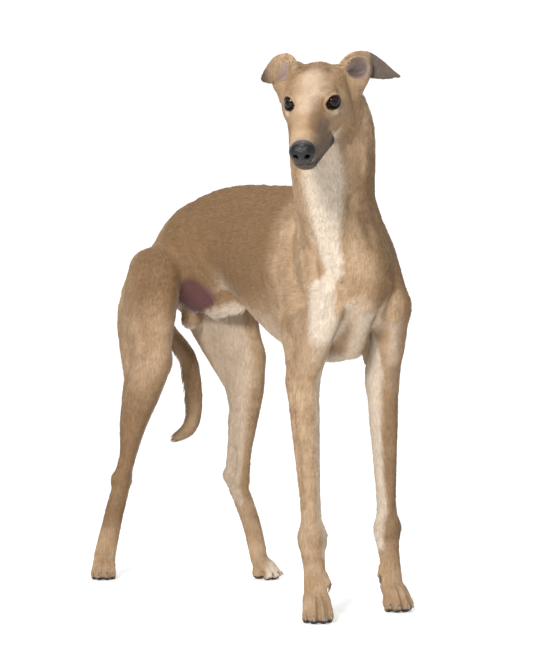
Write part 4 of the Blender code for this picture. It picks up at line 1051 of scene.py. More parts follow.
    # Grey: muzzle towards the nose, lips and chin, the ears' outer faces, and painted shade on the muzzle's faces
    # turned to the dog's left
    near_mouth = (np.linalg.norm(p - head(80, 0, -38), axis=1) < 0.078) & (size < 42)
    muzzle = smoothstep(84, 118, x) * near_mouth
    mouth = np.array(mouth_line())
    above = z - np.interp(x, mouth[::-1, 0], mouth[::-1, 2])
    chin = (1 - smoothstep(1, 15, above)) * smoothstep(26, 44, x) * (z > -78) * near_mouth
    # Grey on the muzzle's faces turned to the dog's left, away from the key lamp: painted shade over part of the
    # dark patch the dog has there
    left_muzzle_patch_and_shade = smoothstep(0.10, 0.90, normals @ HEAD_AXES[1]) * smoothstep(0, 60, x) * near_mouth * (z > -60)
    brows = np.maximum(blot(p, [head(0, 19, 17), head(-8, 22, 22)], 0.013),
                       0.4 * blot(p, [head(-4, -22, 20)], 0.011))
    ears = smoothstep(54, 66, size) * smoothstep(-24, -8, z) * (x < -40) * (x > -130) * (size < 150)
    flaps = ears * np.clip(smoothstep(76, 92, size) + 0.4, 0, 1)
    marks["grey"] = np.clip(np.maximum.reduce([muzzle * 0.5, chin * 0.97, left_muzzle_patch_and_shade * 0.62, brows * 0.4,
                                               flaps * 0.85, bluish]), 0, 1)
    # Black: lips, rims of the lids, the corner of the eye, and below, painted shade deep in the ears' cups
    lips = np.zeros(len(p))
    for s in (-1, 1):
        rows = smooth_rows(np.array([head(a, s * b, c) for a, b, c in mouth_line()]), 4)
        near, far = line_distance(p, rows)
        lips[near] = np.maximum(lips[near], 1 - smoothstep(2.4 * MM, 7.5 * MM, far))
        lips = np.maximum(lips, 0.9 * blot(p, [head(36, s * 34, -48), head(52, s * 31, -48)], 0.011))
    rims = np.zeros(len(p))
    half, high = np.array(EYE_OPENING) * MM
    for s in (-1, 1):
        centre, across, crown, look = eye_axes(s)
        off = p - centre
        ring = np.hypot(off @ across / half, off @ crown / high)
        near = (np.linalg.norm(off, axis=1) < EYE_RADIUS + 6 * MM) & (off @ look > 0)
        rims = np.maximum(rims, near * (1 - smoothstep(1.04, 1.26, ring)))
        corner = off + across * s * half * 1.05
        rims = np.maximum(rims, near * (1 - smoothstep(2.0 * MM, 5.5 * MM, np.linalg.norm(corner, axis=1))))
    pads = (1 - smoothstep(0.004, 0.010, low)) * smoothstep(0.1, 0.6, facing_down)
    marks["black"] = np.clip(np.maximum.reduce([lips, rims, pads]), 0, 1)
    # Nose leather
    away = np.hypot(y / (NOSE_SIZE[0] + 0.6), (z - NOSE_AT[2]) / (NOSE_SIZE[1] + 1.0))
    reach = x - (113.5 + 0.012 * y * y + np.where(z > -22, -0.15, -0.30) * (z + 22))
    marks["nose"] = smoothstep(0, 1.6, reach) * (away < 1.25) * smoothstep(-41.5, -39.5, z)
    # Bare skin: groin, inside the ears; with painted shade deep in the ears' cups
    groin = blot(p,
                 [(0.030, 0.235, 0.545), (0.028, 0.255, 0.560), (-0.010, 0.215, 0.545),
                  (0.060, 0.200, 0.540)], 0.066)
    marks["bare"] = np.clip(groin * smoothstep(0.0, 0.5, facing_down) * (1 - 0.8 * sheath), 0, 1)
    cups = np.zeros(len(p))
    for s in (-1, 1):
        (cx, cy, cz), (nx, ny, nz), _ = CUP[-1]
        centre = head(cx, s * cy * (0.94 if s < 0 else 1), cz)
        normal = head_way(nx, s * ny, nz)
        off = p - centre
        deep = -(off @ normal)
        out = np.linalg.norm(off - np.outer(off @ normal, normal), axis=1)
        # Painted shade: the ear's cup darker the deeper it goes, far more in the left ear than the right
        cavity_shade = smoothstep(1.5 * MM, 9 * MM,
                            deep) * (out < 21.5 * MM) * (deep < 19 * MM) * (1.0 if s > 0 else 0.35)
        marks["black"] = np.maximum(marks["black"], cavity_shade * 0.55)
        cups = np.maximum(cups, (out < 21.5 * MM) * smoothstep(0.5 * MM, 3 * MM, deep) * (deep < 19 * MM)
                          * (normals @ normal > -0.65))
    marks["ear"] = cups
    fold = blot(p, [head(-76, 81, 25), head(-74, 78, 13)], 0.013)
    marks["pale"] = np.maximum(marks["pale"], fold * 0.7)
    for name in ("ear", "black"):
        marks[name] = marks[name] * (1 - fold)
    return marks


def lie_of(p, normals):
    """The way the fur lies at each point: away from the nose, down the legs, back along the body."""
    weights, ways = [], []

    def add(places, reach, way):
        rows = np.array([np.asarray(q, float) for q in places])
        best = np.full(len(p), 10.0)
        for a, b in zip(rows[:-1], rows[1:]):
            off, axis = p - a, b - a
            t = np.clip(off @ axis / (axis @ axis), 0, 1)[:, None]
            best = np.minimum(best, np.linalg.norm(off - t * axis, axis=1))
        weights.append(np.exp(-((best / reach) ** 2)) + 1e-9)
        ways.append(unit(way))

    add([head(130, 0, -25), head(10, 0, -20)], 0.045, -HEAD_AXES[0] + 0.1 * HEAD_AXES[2])
    add([head(0, 0, -10), head(-80, 0, -20)], 0.055, -HEAD_AXES[0] - 0.3 * HEAD_AXES[2])
    add([(-0.095, -0.330, 0.790), (-0.053, -0.291, 0.700)], 0.075, (0.25, 0.1, -1))
    add([thorax(0.05, 0, 0.62), thorax(0.05, 0, 0.50)], 0.080, (0.1, 0.5, -1))
    add([(0.012, -0.225, 0.60), (0.035, 0.095, 0.64)], 0.10, (0, 1, -0.25))
    add([(0.035, 0.095, 0.64), (0.012, 0.300, 0.62)], 0.085, (0, 1, -0.5))
    for s in (-1, 1):
        elbow = thorax(0, s * ELBOW_HALF, ELBOW_Z)
        add([thorax(0.0, s * 0.07, 0.46), elbow, FORE[s]["carpus"], (*FORE[s]["paw"], 0.0)], 0.045,
            (0, 0.12, -1))
        hip, stifle, hock = (np.array(HIND[s][n]) for n in ("hip", "stifle", "hock"))
        add([hip, stifle, hock, (*HIND[s]["paw"], 0.0)], 0.06, (0, 0.35, -1))
        for legs in (FORE, HIND):
            toes, _ = heading(legs[s]["toes"])
            paw = np.array([*legs[s]["paw"], FLOOR_Z])
            add([paw + [0, 0, 0.03], paw + toes * 0.03 + [0, 0, 0.015]], 0.022,
                toes * 1.0 + np.array([0, 0, -0.7]))
    for a, b in zip(TAIL[:-1], TAIL[1:]):
        add([a, b], 0.022, np.array(b) - np.array(a))
    total = sum(w[:, None] * v for w, v in zip(weights, ways))
    for s in (-1, 1):
        flap = FLAP[s]
        crest = np.array([head(*q) for q in flap["crest"]])
        near, far = line_distance(p, crest)
        share = (1 - smoothstep(0.02, 0.035, far))[:, None] * (on_head(p[near])[:, 0] < -50)[:, None]
        total[near] = total[near] * (1 - share) + share * unit(crest[-1] - crest[2])
    total -= (total * normals).sum(1, keepdims=True) * normals
    return total / np.maximum(np.linalg.norm(total, axis=1, keepdims=True), 1e-9)


def normals_of(obj):
    normals = np.empty(len(obj.data.vertices) * 3, np.float32)
    obj.data.vertex_normals.foreach_get("vector", normals)
    return normals.reshape(-1, 3).astype(float)


# The cream of the throat: height, how far to the dog's left it lies, half its width, in metres
THROAT_ACROSS = np.array([0.820, -0.572, 0])
THROAT = [(0.470, 0.106, 0.026), (0.506, 0.101, 0.022), (0.548, 0.104, 0.020), (0.564, 0.124, 0.014),
          (0.614, 0.112, 0.020), (0.660, 0.107, 0.027), (0.711, 0.103, 0.035), (0.760, 0.098, 0.030),
          (0.820, 0.096, 0.030)]
MARKS = ("pale", "dark", "grey", "black", "nose", "bare", "ear")


def store(obj, name, values):
    layer = obj.data.attributes.new(name, "FLOAT", "POINT")
    layer.data.foreach_set("value", np.asarray(values, np.float32))


def stored(obj, name):
    values = np.empty(len(obj.data.vertices), np.float32)
    obj.data.attributes[name].data.foreach_get("value", values)
    return values.astype(float)


def store_ways(obj, p, lie):
    """How much of the fur's pattern runs along the back, the legs and the head."""
    store(obj, "along_back", np.abs(lie @ unit((0, 1, -0.3))) ** 3)
    store(obj, "along_head", np.abs(lie @ HEAD_AXES[0]) ** 3 * (p[:, 2] > 0.74))


# The coat: tufts over the skin

def tuft_length(p, normals):
    """Length of the tufts, reckoned in millimetres and given in metres, and how much they stand off."""
    low = p[:, 2] - FLOOR_Z
    length = np.full(len(p), 8.0)
    stand = np.full(len(p), 0.13)
    face = 1 - smoothstep(0.06, 0.15, np.linalg.norm(p - head(40, 0, -25), axis=1))
    length -= 5.0 * face
    feet = 1 - smoothstep(0.05, 0.14, low)
    length -= 4.2 * feet
    stand -= 0.02 * np.maximum(face, feet)
    under_tail = np.zeros(len(p))
    for a, b in zip(TAIL[1:-1], TAIL[2:]):
        near, far = line_distance(p, np.array([a, b], float))
        hit = (far < 0.024) * smoothstep(-0.4, 0.7, -normals[near] @ np.array([0.2, -0.8, 0.5]))
        under_tail[near] = np.maximum(under_tail[near], hit)
    length += 7 * under_tail
    stand += 0.12 * under_tail
    nape = blot(p, [(-0.060, -0.270, 0.840), (-0.028, -0.245, 0.760), (0.006, -0.205, 0.715)], 0.045)
    length += 3 * nape
    stand += 0.08 * nape
    sheath = blot(p, [(0.030, 0.205, 0.500), (0.034, 0.125, 0.505)], 0.030)
    length += 5 * sheath
    stand += 0.12 * sheath
    h = on_head(p)
    ears = (np.abs(h[:, 1]) > 50) & (h[:, 0] > -130) & (h[:, 0] < -45) & (h[:, 2] > -15)
    length[ears] = 3.0
    stand[ears] = 0.08
    for s in (-1, 1):
        hip, stifle = np.array(HIND[s]["hip"]), np.array(HIND[s]["stifle"])
        ham = blot(p, [hip + [0, 0.09, -0.04], hip * 0.4 + stifle * 0.6 + [0, 0.10, 0]], 0.05)
        length += 3 * ham
        stand += 0.06 * ham
        near, far = line_distance(p, np.array([head(*q) for q in FLAP[s]["hem"]]))
        stand[near] += 0.05 * (1 - smoothstep(0.002, 0.006, far))
    brisket = blot(p, [thorax(0.05, 0, 0.424), thorax(-0.12, 0, 0.424), (0.04, 0.05, 0.46)], 0.05)
    length += 3 * brisket
    stand += 0.05 * brisket
    return length * MM, stand


def make_coat(skin, count, width, seed):
    """Tufts in several pieces, each a bent sliver with a ridge, rooted in the skin and laid along the body."""
    rng = np.random.default_rng(seed)
    mesh = skin.data
    mesh.calc_loop_triangles()
    tris = np.empty(len(mesh.loop_triangles) * 3, np.int32)
    loops = np.empty(len(mesh.loop_triangles) * 3, np.int32)
    mesh.loop_triangles.foreach_get("vertices", tris)
    mesh.loop_triangles.foreach_get("loops", loops)
    tris, loops = tris.reshape(-1, 3), loops.reshape(-1, 3)
    uv = np.empty(len(mesh.loops) * 2, np.float32)
    mesh.uv_layers[0].data.foreach_get("uv", uv)
    uv = uv.reshape(-1, 2)
    p, normals = corners_of(skin) + ORIGIN, normals_of(skin)
    marks = {name: stored(skin, name) for name in MARKS}
    lie = lie_of(p, normals)
    corners = p[tris]
    area = np.linalg.norm(np.cross(corners[:, 1] - corners[:, 0], corners[:, 2] - corners[:, 0]), axis=1) / 2
    length, stand = tuft_length(p, normals)
    wanted = 1 / np.maximum(length / (8 * MM), 0.35)
    bald = np.clip(marks["nose"] * 3 + marks["ear"] + marks["black"] * 1.2 + marks["bare"], 0, 1)
    wanted *= 1 - bald
    weight = area * wanted[tris].mean(1)
    picks = rng.choice(len(tris), count, p=weight / weight.sum())
    u, v = rng.random(count), rng.random(count)
    flip = u + v > 1
    u[flip], v[flip] = 1 - u[flip], 1 - v[flip]
    shares = np.stack([1 - u - v, u, v], 1)

    def at(values):
        return (values[tris[picks]] * shares.reshape(*shares.shape, *[1] * (values.ndim - 1))).sum(1)

    root, out, way = at(p), at(normals), at(lie)
    out /= np.linalg.norm(out, axis=1, keepdims=True)
    way += rng.normal(0, 0.16, way.shape)
    way -= (way * out).sum(1, keepdims=True) * out
    way /= np.linalg.norm(way, axis=1, keepdims=True)
    side = np.cross(out, way)
    size = at(length) * rng.uniform(0.7, 1.25, count)
    lift = at(stand) * rng.uniform(0.6, 1.4, count)
    wide = width * (0.45 + 0.55 * at(length) / (8 * MM)) * rng.uniform(0.7, 1.3, count)
    home = (uv[loops[picks]] * shares[:, :, None]).sum(1)
    size, lift, wide = size[:, None], lift[:, None], wide[:, None]
    start = root - out * 0.25 * MM
    middle = start + way * size * 0.5 + out * size * lift * 0.75
    tip = start + way * size + out * size * lift * 0.95
    rise = out * wide * 0.28
    strands = np.stack([start - side * wide * 0.35, start + rise * 0.5, start + side * wide * 0.35,
                        middle - side * wide * 0.5, middle + rise, middle + side * wide * 0.5, tip], 1)
    strands[:, :, 2] = np.maximum(strands[:, :, 2], FLOOR_Z + 0.05 * MM)
    patch = 0.0015 * np.array([(-1, -1), (0, -1), (1, -1), (-1, 0), (0, 0), (1, 0), (0, 1)])
    faces = np.array([(0, 1, 4, 3), (1, 2, 5, 4)])
    tips = np.array([(3, 4, 6), (4, 5, 6)])
    values = {name: at(marks[name]) for name in MARKS}
    ways = {"along_back": np.abs(way @ unit((0, 1, -0.3))) ** 3,
            "along_head": np.abs(way @ HEAD_AXES[0]) ** 3 * (root[:, 2] > 0.74)}
    order = np.argsort(region_of(root) * 10.0 + root[:, 1], kind="stable")
    pieces = []
    for k, chunk in enumerate(np.array_split(order, math.ceil(count / 32000))):
        n = len(chunk)
        base = np.arange(n)[:, None, None] * 7
        quads = (base + faces).reshape(-1, 4)
        points = (base + tips).reshape(-1, 3)
        name = f"coat_{k + 1}"
        made = bpy.data.meshes.new(name)
        made.vertices.add(n * 7)
        made.vertices.foreach_set("co", strands[chunk].astype(np.float32).ravel())
        corner = np.concatenate([quads.ravel(), points.ravel()]).astype(np.int32)
        made.loops.add(len(corner))
        made.loops.foreach_set("vertex_index", corner)
        sizes = np.concatenate([np.full(len(quads), 4), np.full(len(points), 3)])
        made.polygons.add(len(sizes))
        made.polygons.foreach_set("loop_start", np.concatenate([[0], np.cumsum(sizes)[:-1]]).astype(np.int32))
        made.polygons.foreach_set("loop_total", sizes.astype(np.int32))
        made.update(calc_edges=True)
        made.validate()
        layer = made.uv_layers.new(name="OFBake")
        spots = (home[chunk][:, None] + patch).reshape(-1, 2)[corner]
        layer.data.foreach_set("uv", spots.astype(np.float32).ravel())
        obj = bpy.data.objects.new(name, made)
        bpy.context.scene.collection.objects.link(obj)
        for mark, value in {**values, **ways}.items():
            store(obj, mark, np.repeat(value[chunk], 7))
        made.shade_smooth()
        pieces.append(obj)
    return pieces


def region_of(p):
    """A number for the part of the body: head and neck, trunk, forelegs, hind legs."""
    return np.where(p[:, 2] > 0.70, 0, np.where(p[:, 1] < -0.18, 1, np.where(p[:, 1] < 0.12, 2, 3)))


# Materials

def new_material(name):
    material = bpy.data.materials.new(name)
    material.use_nodes = True
    tree = material.node_tree
    return material, tree, tree.nodes["Principled BSDF"]


def add(tree, kind, **settings):
    node = tree.nodes.new(kind)
    for key, value in settings.items():
        setattr(node, key, value)
    return node


def attribute(tree, name):
    return add(tree, "ShaderNodeAttribute", attribute_name=name).outputs["Fac"]


def mix_colour(tree, factor, one, other):
    node = add(tree, "ShaderNodeMix", data_type="RGBA")
    for socket, value in ((node.inputs[0], factor), (node.inputs[6], one), (node.inputs[7], other)):
        if hasattr(value, "links"):
            tree.links.new(value, socket)
        else:
            is_colour = isinstance(value, (tuple, list)) and len(value) == 3
            socket.default_value = (*value, 1) if is_colour else value
    return node.outputs[2]


def compute(tree, operation, one, other=0.0, third=None):
    node = add(tree, "ShaderNodeMath", operation=operation)
    for socket, value in zip(node.inputs, (one, other, third)):
        if value is None:
            continue
        if hasattr(value, "links"):
            tree.links.new(value, socket)
        else:
            socket.default_value = value
    return node.outputs[0]


def ramp(tree, value, low, high):
    node = add(tree, "ShaderNodeMapRange")
    node.interpolation_type = "SMOOTHSTEP"
    tree.links.new(value, node.inputs["Value"])
    node.inputs["From Min"].default_value = low
    node.inputs["From Max"].default_value = high
    return node.outputs["Result"]


def hair_group():
    """Short flat hair: a height and a light-and-dark streak, stretched along one direction."""
    group = bpy.data.node_groups.new("Short hair", "ShaderNodeTree")
    face = group.interface
    face.new_socket("Vector", in_out="INPUT", socket_type="NodeSocketVector")
    turn = face.new_socket("Turn", in_out="INPUT", socket_type="NodeSocketVector")
    turn.subtype = "EULER"
    fine = face.new_socket("Fineness", in_out="INPUT", socket_type="NodeSocketFloat")
    fine.default_value = 1.0
    face.new_socket("Height", in_out="OUTPUT", socket_type="NodeSocketFloat")
    face.new_socket("Streak", in_out="OUTPUT", socket_type="NodeSocketFloat")
    inside = group.nodes.new("NodeGroupInput")
    outside = group.nodes.new("NodeGroupOutput")
    mapping = add(group, "ShaderNodeMapping", vector_type="POINT")
    group.links.new(inside.outputs["Vector"], mapping.inputs["Vector"])
    group.links.new(inside.outputs["Turn"], mapping.inputs["Rotation"])
    squash = add(group, "ShaderNodeVectorMath", operation="MULTIPLY")
    squash.inputs[1].default_value = (0.11, 1.0, 1.0)
    group.links.new(mapping.outputs[0], squash.inputs[0])
    scale = add(group, "ShaderNodeVectorMath", operation="SCALE")
    group.links.new(squash.outputs[0], scale.inputs[0])
    group.links.new(inside.outputs["Fineness"], scale.inputs["Scale"])
    hair = add(group, "ShaderNodeTexNoise")
    hair.inputs["Scale"].default_value = 1500
    hair.inputs["Detail"].default_value = 3
    hair.inputs["Roughness"].default_value = 0.6
    clump = add(group, "ShaderNodeTexNoise")
    clump.inputs["Scale"].default_value = 420
    clump.inputs["Detail"].default_value = 2
    for node in (hair, clump):
        group.links.new(scale.outputs[0], node.inputs["Vector"])
    height = compute(group, "MULTIPLY_ADD", clump.outputs["Fac"], 0.6, hair.outputs["Fac"])
    group.links.new(height, outside.inputs["Height"])
    streak = compute(group, "MULTIPLY_ADD", clump.outputs["Fac"], 0.5,
                     compute(group, "MULTIPLY", hair.outputs["Fac"], 0.5))
    group.links.new(ramp(group, streak, 0.34, 0.66), outside.inputs["Streak"])
    return group


def coat_pattern(tree, group):
    """Height and streak of the fur, blended from three runs of it by where the fur lies."""
    where = add(tree, "ShaderNodeTexCoord").outputs["Object"]

    def run(turn, fineness):
        node = add(tree, "ShaderNodeGroup", node_tree=group)
        tree.links.new(where, node.inputs["Vector"])
        node.inputs["Turn"].default_value = turn
        node.inputs["Fineness"].default_value = fineness
        return node.outputs["Height"], node.outputs["Streak"]

    legs = run((0, math.radians(90), 0), 1.0)
    back = run((0, math.radians(17), math.radians(90)), 1.0)
    face = run((0, HEAD_PITCH, math.radians(136)), 1.5)
    found = []
    for k in range(2):
        body = add(tree, "ShaderNodeMix", data_type="FLOAT")
        tree.links.new(ramp(tree, attribute(tree, "along_back"), 0.25, 0.75), body.inputs[0])
        tree.links.new(legs[k], body.inputs[2])
        tree.links.new(back[k], body.inputs[3])
        whole = add(tree, "ShaderNodeMix", data_type="FLOAT")
        tree.links.new(ramp(tree, attribute(tree, "along_head"), 0.25, 0.75), whole.inputs[0])
        tree.links.new(body.outputs[0], whole.inputs[2])
        tree.links.new(face[k], whole.inputs[3])
        found.append(whole.outputs[0])
    return where, *found


def coat_colour(tree, where, streak, colours):
    """The coat's colours by the markings and their painted shade, broken up by patches and streaks."""
    patch = add(tree, "ShaderNodeTexNoise")
    patch.inputs["Scale"].default_value = 26
    patch.inputs["Detail"].default_value = 4
    tree.links.new(where, patch.inputs["Vector"])
    grain = add(tree, "ShaderNodeTexNoise")
    grain.inputs["Scale"].default_value = 190
    grain.inputs["Detail"].default_value = 3
    tree.links.new(where, grain.inputs["Vector"])

    def share(name, soft=0.30):
        moved = compute(tree, "MULTIPLY_ADD", compute(tree, "SUBTRACT", grain.outputs["Fac"], 0.5), soft,
                        attribute(tree, name))
        return moved

    base = mix_colour(tree, ramp(tree, patch.outputs["Fac"], 0.35, 0.65), colours["fawn"],
                      colours["fawn_light"])
    base = mix_colour(tree, ramp(tree, share("dark"), 0.0, 1.0), base, colours["fawn_dark"])
    base = mix_colour(tree, ramp(tree, share("pale"), 0.08, 0.92), base, colours["cream"])
    base = mix_colour(tree, ramp(tree, share("grey"), 0.05, 0.95), base, colours["grey"])
    tone = add(tree, "ShaderNodeMix", data_type="RGBA", blend_type="MULTIPLY")
    tone.inputs[0].default_value = 1.0
    tree.links.new(base, tone.inputs[6])
    shade = mix_colour(tree, streak, (0.80, 0.77, 0.74), (1.10, 1.09, 1.08))
    tree.links.new(shade, tone.inputs[7])
    return tone.outputs[2], share


def coat_group(colours):
    """The fur's height, streak and colour with its painted shade, and the masks of bare skin and of black skin with
    the painted shade in the ears, for skin and tufts.
    """
    group = bpy.data.node_groups.new("Coat", "ShaderNodeTree")
    for name in ("Height", "Streak", "Bare", "Black"):
        group.interface.new_socket(name, in_out="OUTPUT", socket_type="NodeSocketFloat")
    group.interface.new_socket("Colour", in_out="OUTPUT", socket_type="NodeSocketColor")
    where, height, streak = coat_pattern(group, hair_group())
    fur, share = coat_colour(group, where, streak, colours)
    outside = group.nodes.new("NodeGroupOutput")
    found = {"Height": height, "Streak": streak, "Colour": fur, "Bare": share("bare"),
             "Black": share("black", 0.2)}
    for name, socket in found.items():
        group.links.new(socket, outside.inputs[name])
    return group


def coat_look(tree, group, colours, bare_from):
    """Height and streak of the fur, and its colour with bare, inner ear and black skin, and the painted shade deep
    in the ears, laid over it.
    """
    made = add(tree, "ShaderNodeGroup", node_tree=group).outputs
    colour = mix_colour(tree, ramp(tree, made["Bare"], bare_from, bare_from + 0.6), made["Colour"], colours["bare"])
    colour = mix_colour(tree, ramp(tree, attribute(tree, "ear"), 0.2, 0.9), colour, colours["ear"])
    colour = mix_colour(tree, ramp(tree, made["Black"], 0.2, 0.8), colour, colours["lip"])
    return made["Height"], made["Streak"], colour


def skin_material(group, colours):
    """Fur with its markings and painted shade, bare skin, lips and the nose, all on the one skin."""
    material, tree, shader = new_material("Coat and skin")
    where = add(tree, "ShaderNodeTexCoord").outputs["Object"]
    height, streak, dark = coat_look(tree, group, colours, 0.2)
    pores = add(tree, "ShaderNodeTexVoronoi")
    pores.inputs["Scale"].default_value = 700
    tree.links.new(where, pores.inputs["Vector"])
    final = mix_colour(tree, attribute(tree, "nose"), dark, colours["nose"])
    tree.links.new(final, shader.inputs["Base Color"])
    smooth = compute(tree, "MAXIMUM", attribute(tree, "nose"),
                     compute(tree, "MULTIPLY", attribute(tree, "black"), 0.6))
    smooth = compute(tree, "MAXIMUM", smooth, compute(tree, "MULTIPLY", attribute(tree, "ear"), 0.4))
    rough = compute(tree, "MULTIPLY_ADD", streak, -0.10, 0.78)
    rough = compute(tree, "SUBTRACT", rough, compute(tree, "MULTIPLY", smooth, 0.48))
    tree.links.new(rough, shader.inputs["Roughness"])
    shader.inputs["Specular IOR Level"].default_value = 0.35
    furry = compute(tree, "SUBTRACT", 1.0, smooth)
    coat_height = compute(tree, "MULTIPLY", height, compute(tree, "MULTIPLY", furry, 0.00035))
    leather = compute(tree, "MULTIPLY", pores.outputs["Distance"], compute(tree, "MULTIPLY", smooth, 0.0006))
    bump = add(tree, "ShaderNodeBump")
    bump.inputs["Distance"].default_value = 1.0
    bump.inputs["Strength"].default_value = 0.8
    tree.links.new(compute(tree, "ADD", coat_height, leather), bump.inputs["Height"])
    tree.links.new(bump.outputs["Normal"], shader.inputs["Normal"])
    return material


def tuft_material(group, colours):
    material, tree, shader = new_material("Coat tufts")
    height, streak, colour = coat_look(tree, group, colours, 0.1)
    tree.links.new(colour, shader.inputs["Base Color"])
    tree.links.new(compute(tree, "MULTIPLY_ADD", streak, -0.10, 0.76), shader.inputs["Roughness"])
    shader.inputs["Specular IOR Level"].default_value = 0.35
    bump = add(tree, "ShaderNodeBump")
    bump.inputs["Distance"].default_value = 0.0002
    bump.inputs["Strength"].default_value = 0.5
    tree.links.new(height, bump.inputs["Height"])
    tree.links.new(bump.outputs["Normal"], shader.inputs["Normal"])
    return material


def eye_material(iris, iris_dark):
    material, tree, shader = new_material("Eye")
    where = add(tree, "ShaderNodeTexCoord").outputs["Object"]
    turn = attribute(tree, "from_axis")
    fibres = add(tree, "ShaderNodeTexNoise")
    fibres.inputs["Scale"].default_value = 900
    fibres.inputs["Detail"].default_value = 4
    tree.links.new(where, fibres.inputs["Vector"])
    ring = mix_colour(tree, ramp(tree, fibres.outputs["Fac"], 0.35, 0.7), iris_dark, iris)
    ring = mix_colour(tree, ramp(tree, turn, 0.50, 0.72), ring, iris_dark)
    pupil = mix_colour(tree, ramp(tree, turn, 0.27, 0.31), (0.003, 0.003, 0.004), ring)
    white = mix_colour(tree, ramp(tree, turn, 0.74, 0.80), pupil, (0.05, 0.03, 0.022))
    tree.links.new(white, shader.inputs["Base Color"])
    shader.inputs["Roughness"].default_value = 0.06
    shader.inputs["Specular IOR Level"].default_value = 0.28
    shader.inputs["IOR"].default_value = 1.4
    return material


def claw_material(colour):
    material, tree, shader = new_material("Claw horn")
    where = add(tree, "ShaderNodeTexCoord").outputs["Object"]
    layers = add(tree, "ShaderNodeTexNoise")
    layers.inputs["Scale"].default_value = 320
    layers.inputs["Detail"].default_value = 4
    tree.links.new(where, layers.inputs["Vector"])
    tint = mix_colour(tree, ramp(tree, attribute(tree, "along"), 0.15, 0.95), colour, (0.30, 0.24, 0.18))
    tint = mix_colour(tree, ramp(tree, layers.outputs["Fac"], 0.42, 0.7), tint, (0.12, 0.095, 0.075))
    tree.links.new(tint, shader.inputs["Base Color"])
    shader.inputs["Roughness"].default_value = 0.38
    shader.inputs["Coat Weight"].default_value = 0.25
    shader.inputs["Coat Roughness"].default_value = 0.25
    bump = add(tree, "ShaderNodeBump")
    bump.inputs["Distance"].default_value = 0.0002
    bump.inputs["Strength"].default_value = 0.5
    tree.links.new(layers.outputs["Fac"], bump.inputs["Height"])
    tree.links.new(bump.outputs["Normal"], shader.inputs["Normal"])
    return material


def floor_material(colour):
    material, tree, shader = new_material("Studio floor")
    where = add(tree, "ShaderNodeTexCoord").outputs["Object"]
    patch = add(tree, "ShaderNodeTexNoise")
    patch.inputs["Scale"].default_value = 3
    tree.links.new(where, patch.inputs["Vector"])
    tint = mix_colour(tree, patch.outputs["Fac"], colour, [c * 0.985 for c in colour])
    tree.links.new(tint, shader.inputs["Base Color"])
    shader.inputs["Roughness"].default_value = 0.7
    shader.inputs["Emission Color"].default_value = (1, 1, 1, 1)
    shader.inputs["Emission Strength"].default_value = 0.30
    return material


# Claws

def claw_rings(start, ahead, scale):
    across = unit(np.cross(ahead, (0, 0, 1)))
    up = np.cross(across, ahead)
    rings = []
    for t in np.linspace(-0.2, 1.0, 12):
        size = np.interp(t, (-0.2, 0.3, 0.6, 0.85, 0.96, 1.0), (2.9, 3.1, 2.6, 1.75, 1.1, 0.5))
        centre = start + ahead * (1 + 10 * t) * MM * scale + up * (1.0 - 8.0 * t * t) * MM * scale
        rings.append(circle(centre, across * size * 0.70 * MM * scale, up * size * MM * scale, 16))
    return rings


def claw_roots(legs, scale):
    """Where each claw starts, the way it points and its size, by the name of its node."""
    found = {}
    name = "fore" if legs is FORE else "hind"
    for s, side in ((-1, "right"), (1, "left")):
        forward, left = heading(legs[s]["toes"])
        paw = np.array([*legs[s]["paw"], FLOOR_Z])
        for i, toe in enumerate(TOES, 1):
            _, _, tip, ahead = toe_line(paw, forward, left, scale, toe)
            found[f"claw_{name}_{side}_{i}"] = (tip + (ahead * 0.5 + np.array([0, 0, 1.5])) * MM, ahead,
                                                scale)
        if legs is FORE:
            _, tip, ahead = dewclaw_line(s)
            found[f"dewclaw_{side}"] = (tip, ahead, 1.15)
    return found


def place(obj):
    """Moves the finished mesh from where it was set out to its place on the part."""
    move_to(obj, corners_of(obj) - ORIGIN)


def clear_selection():
    bpy.ops.object.select_all(action="DESELECT")


def colours_of(settings):
    names = ("fawn", "fawn_light", "fawn_dark", "cream", "grey", "bare", "ear", "lip", "nose")
    return {name: tuple(getattr(settings, name)) for name in names}


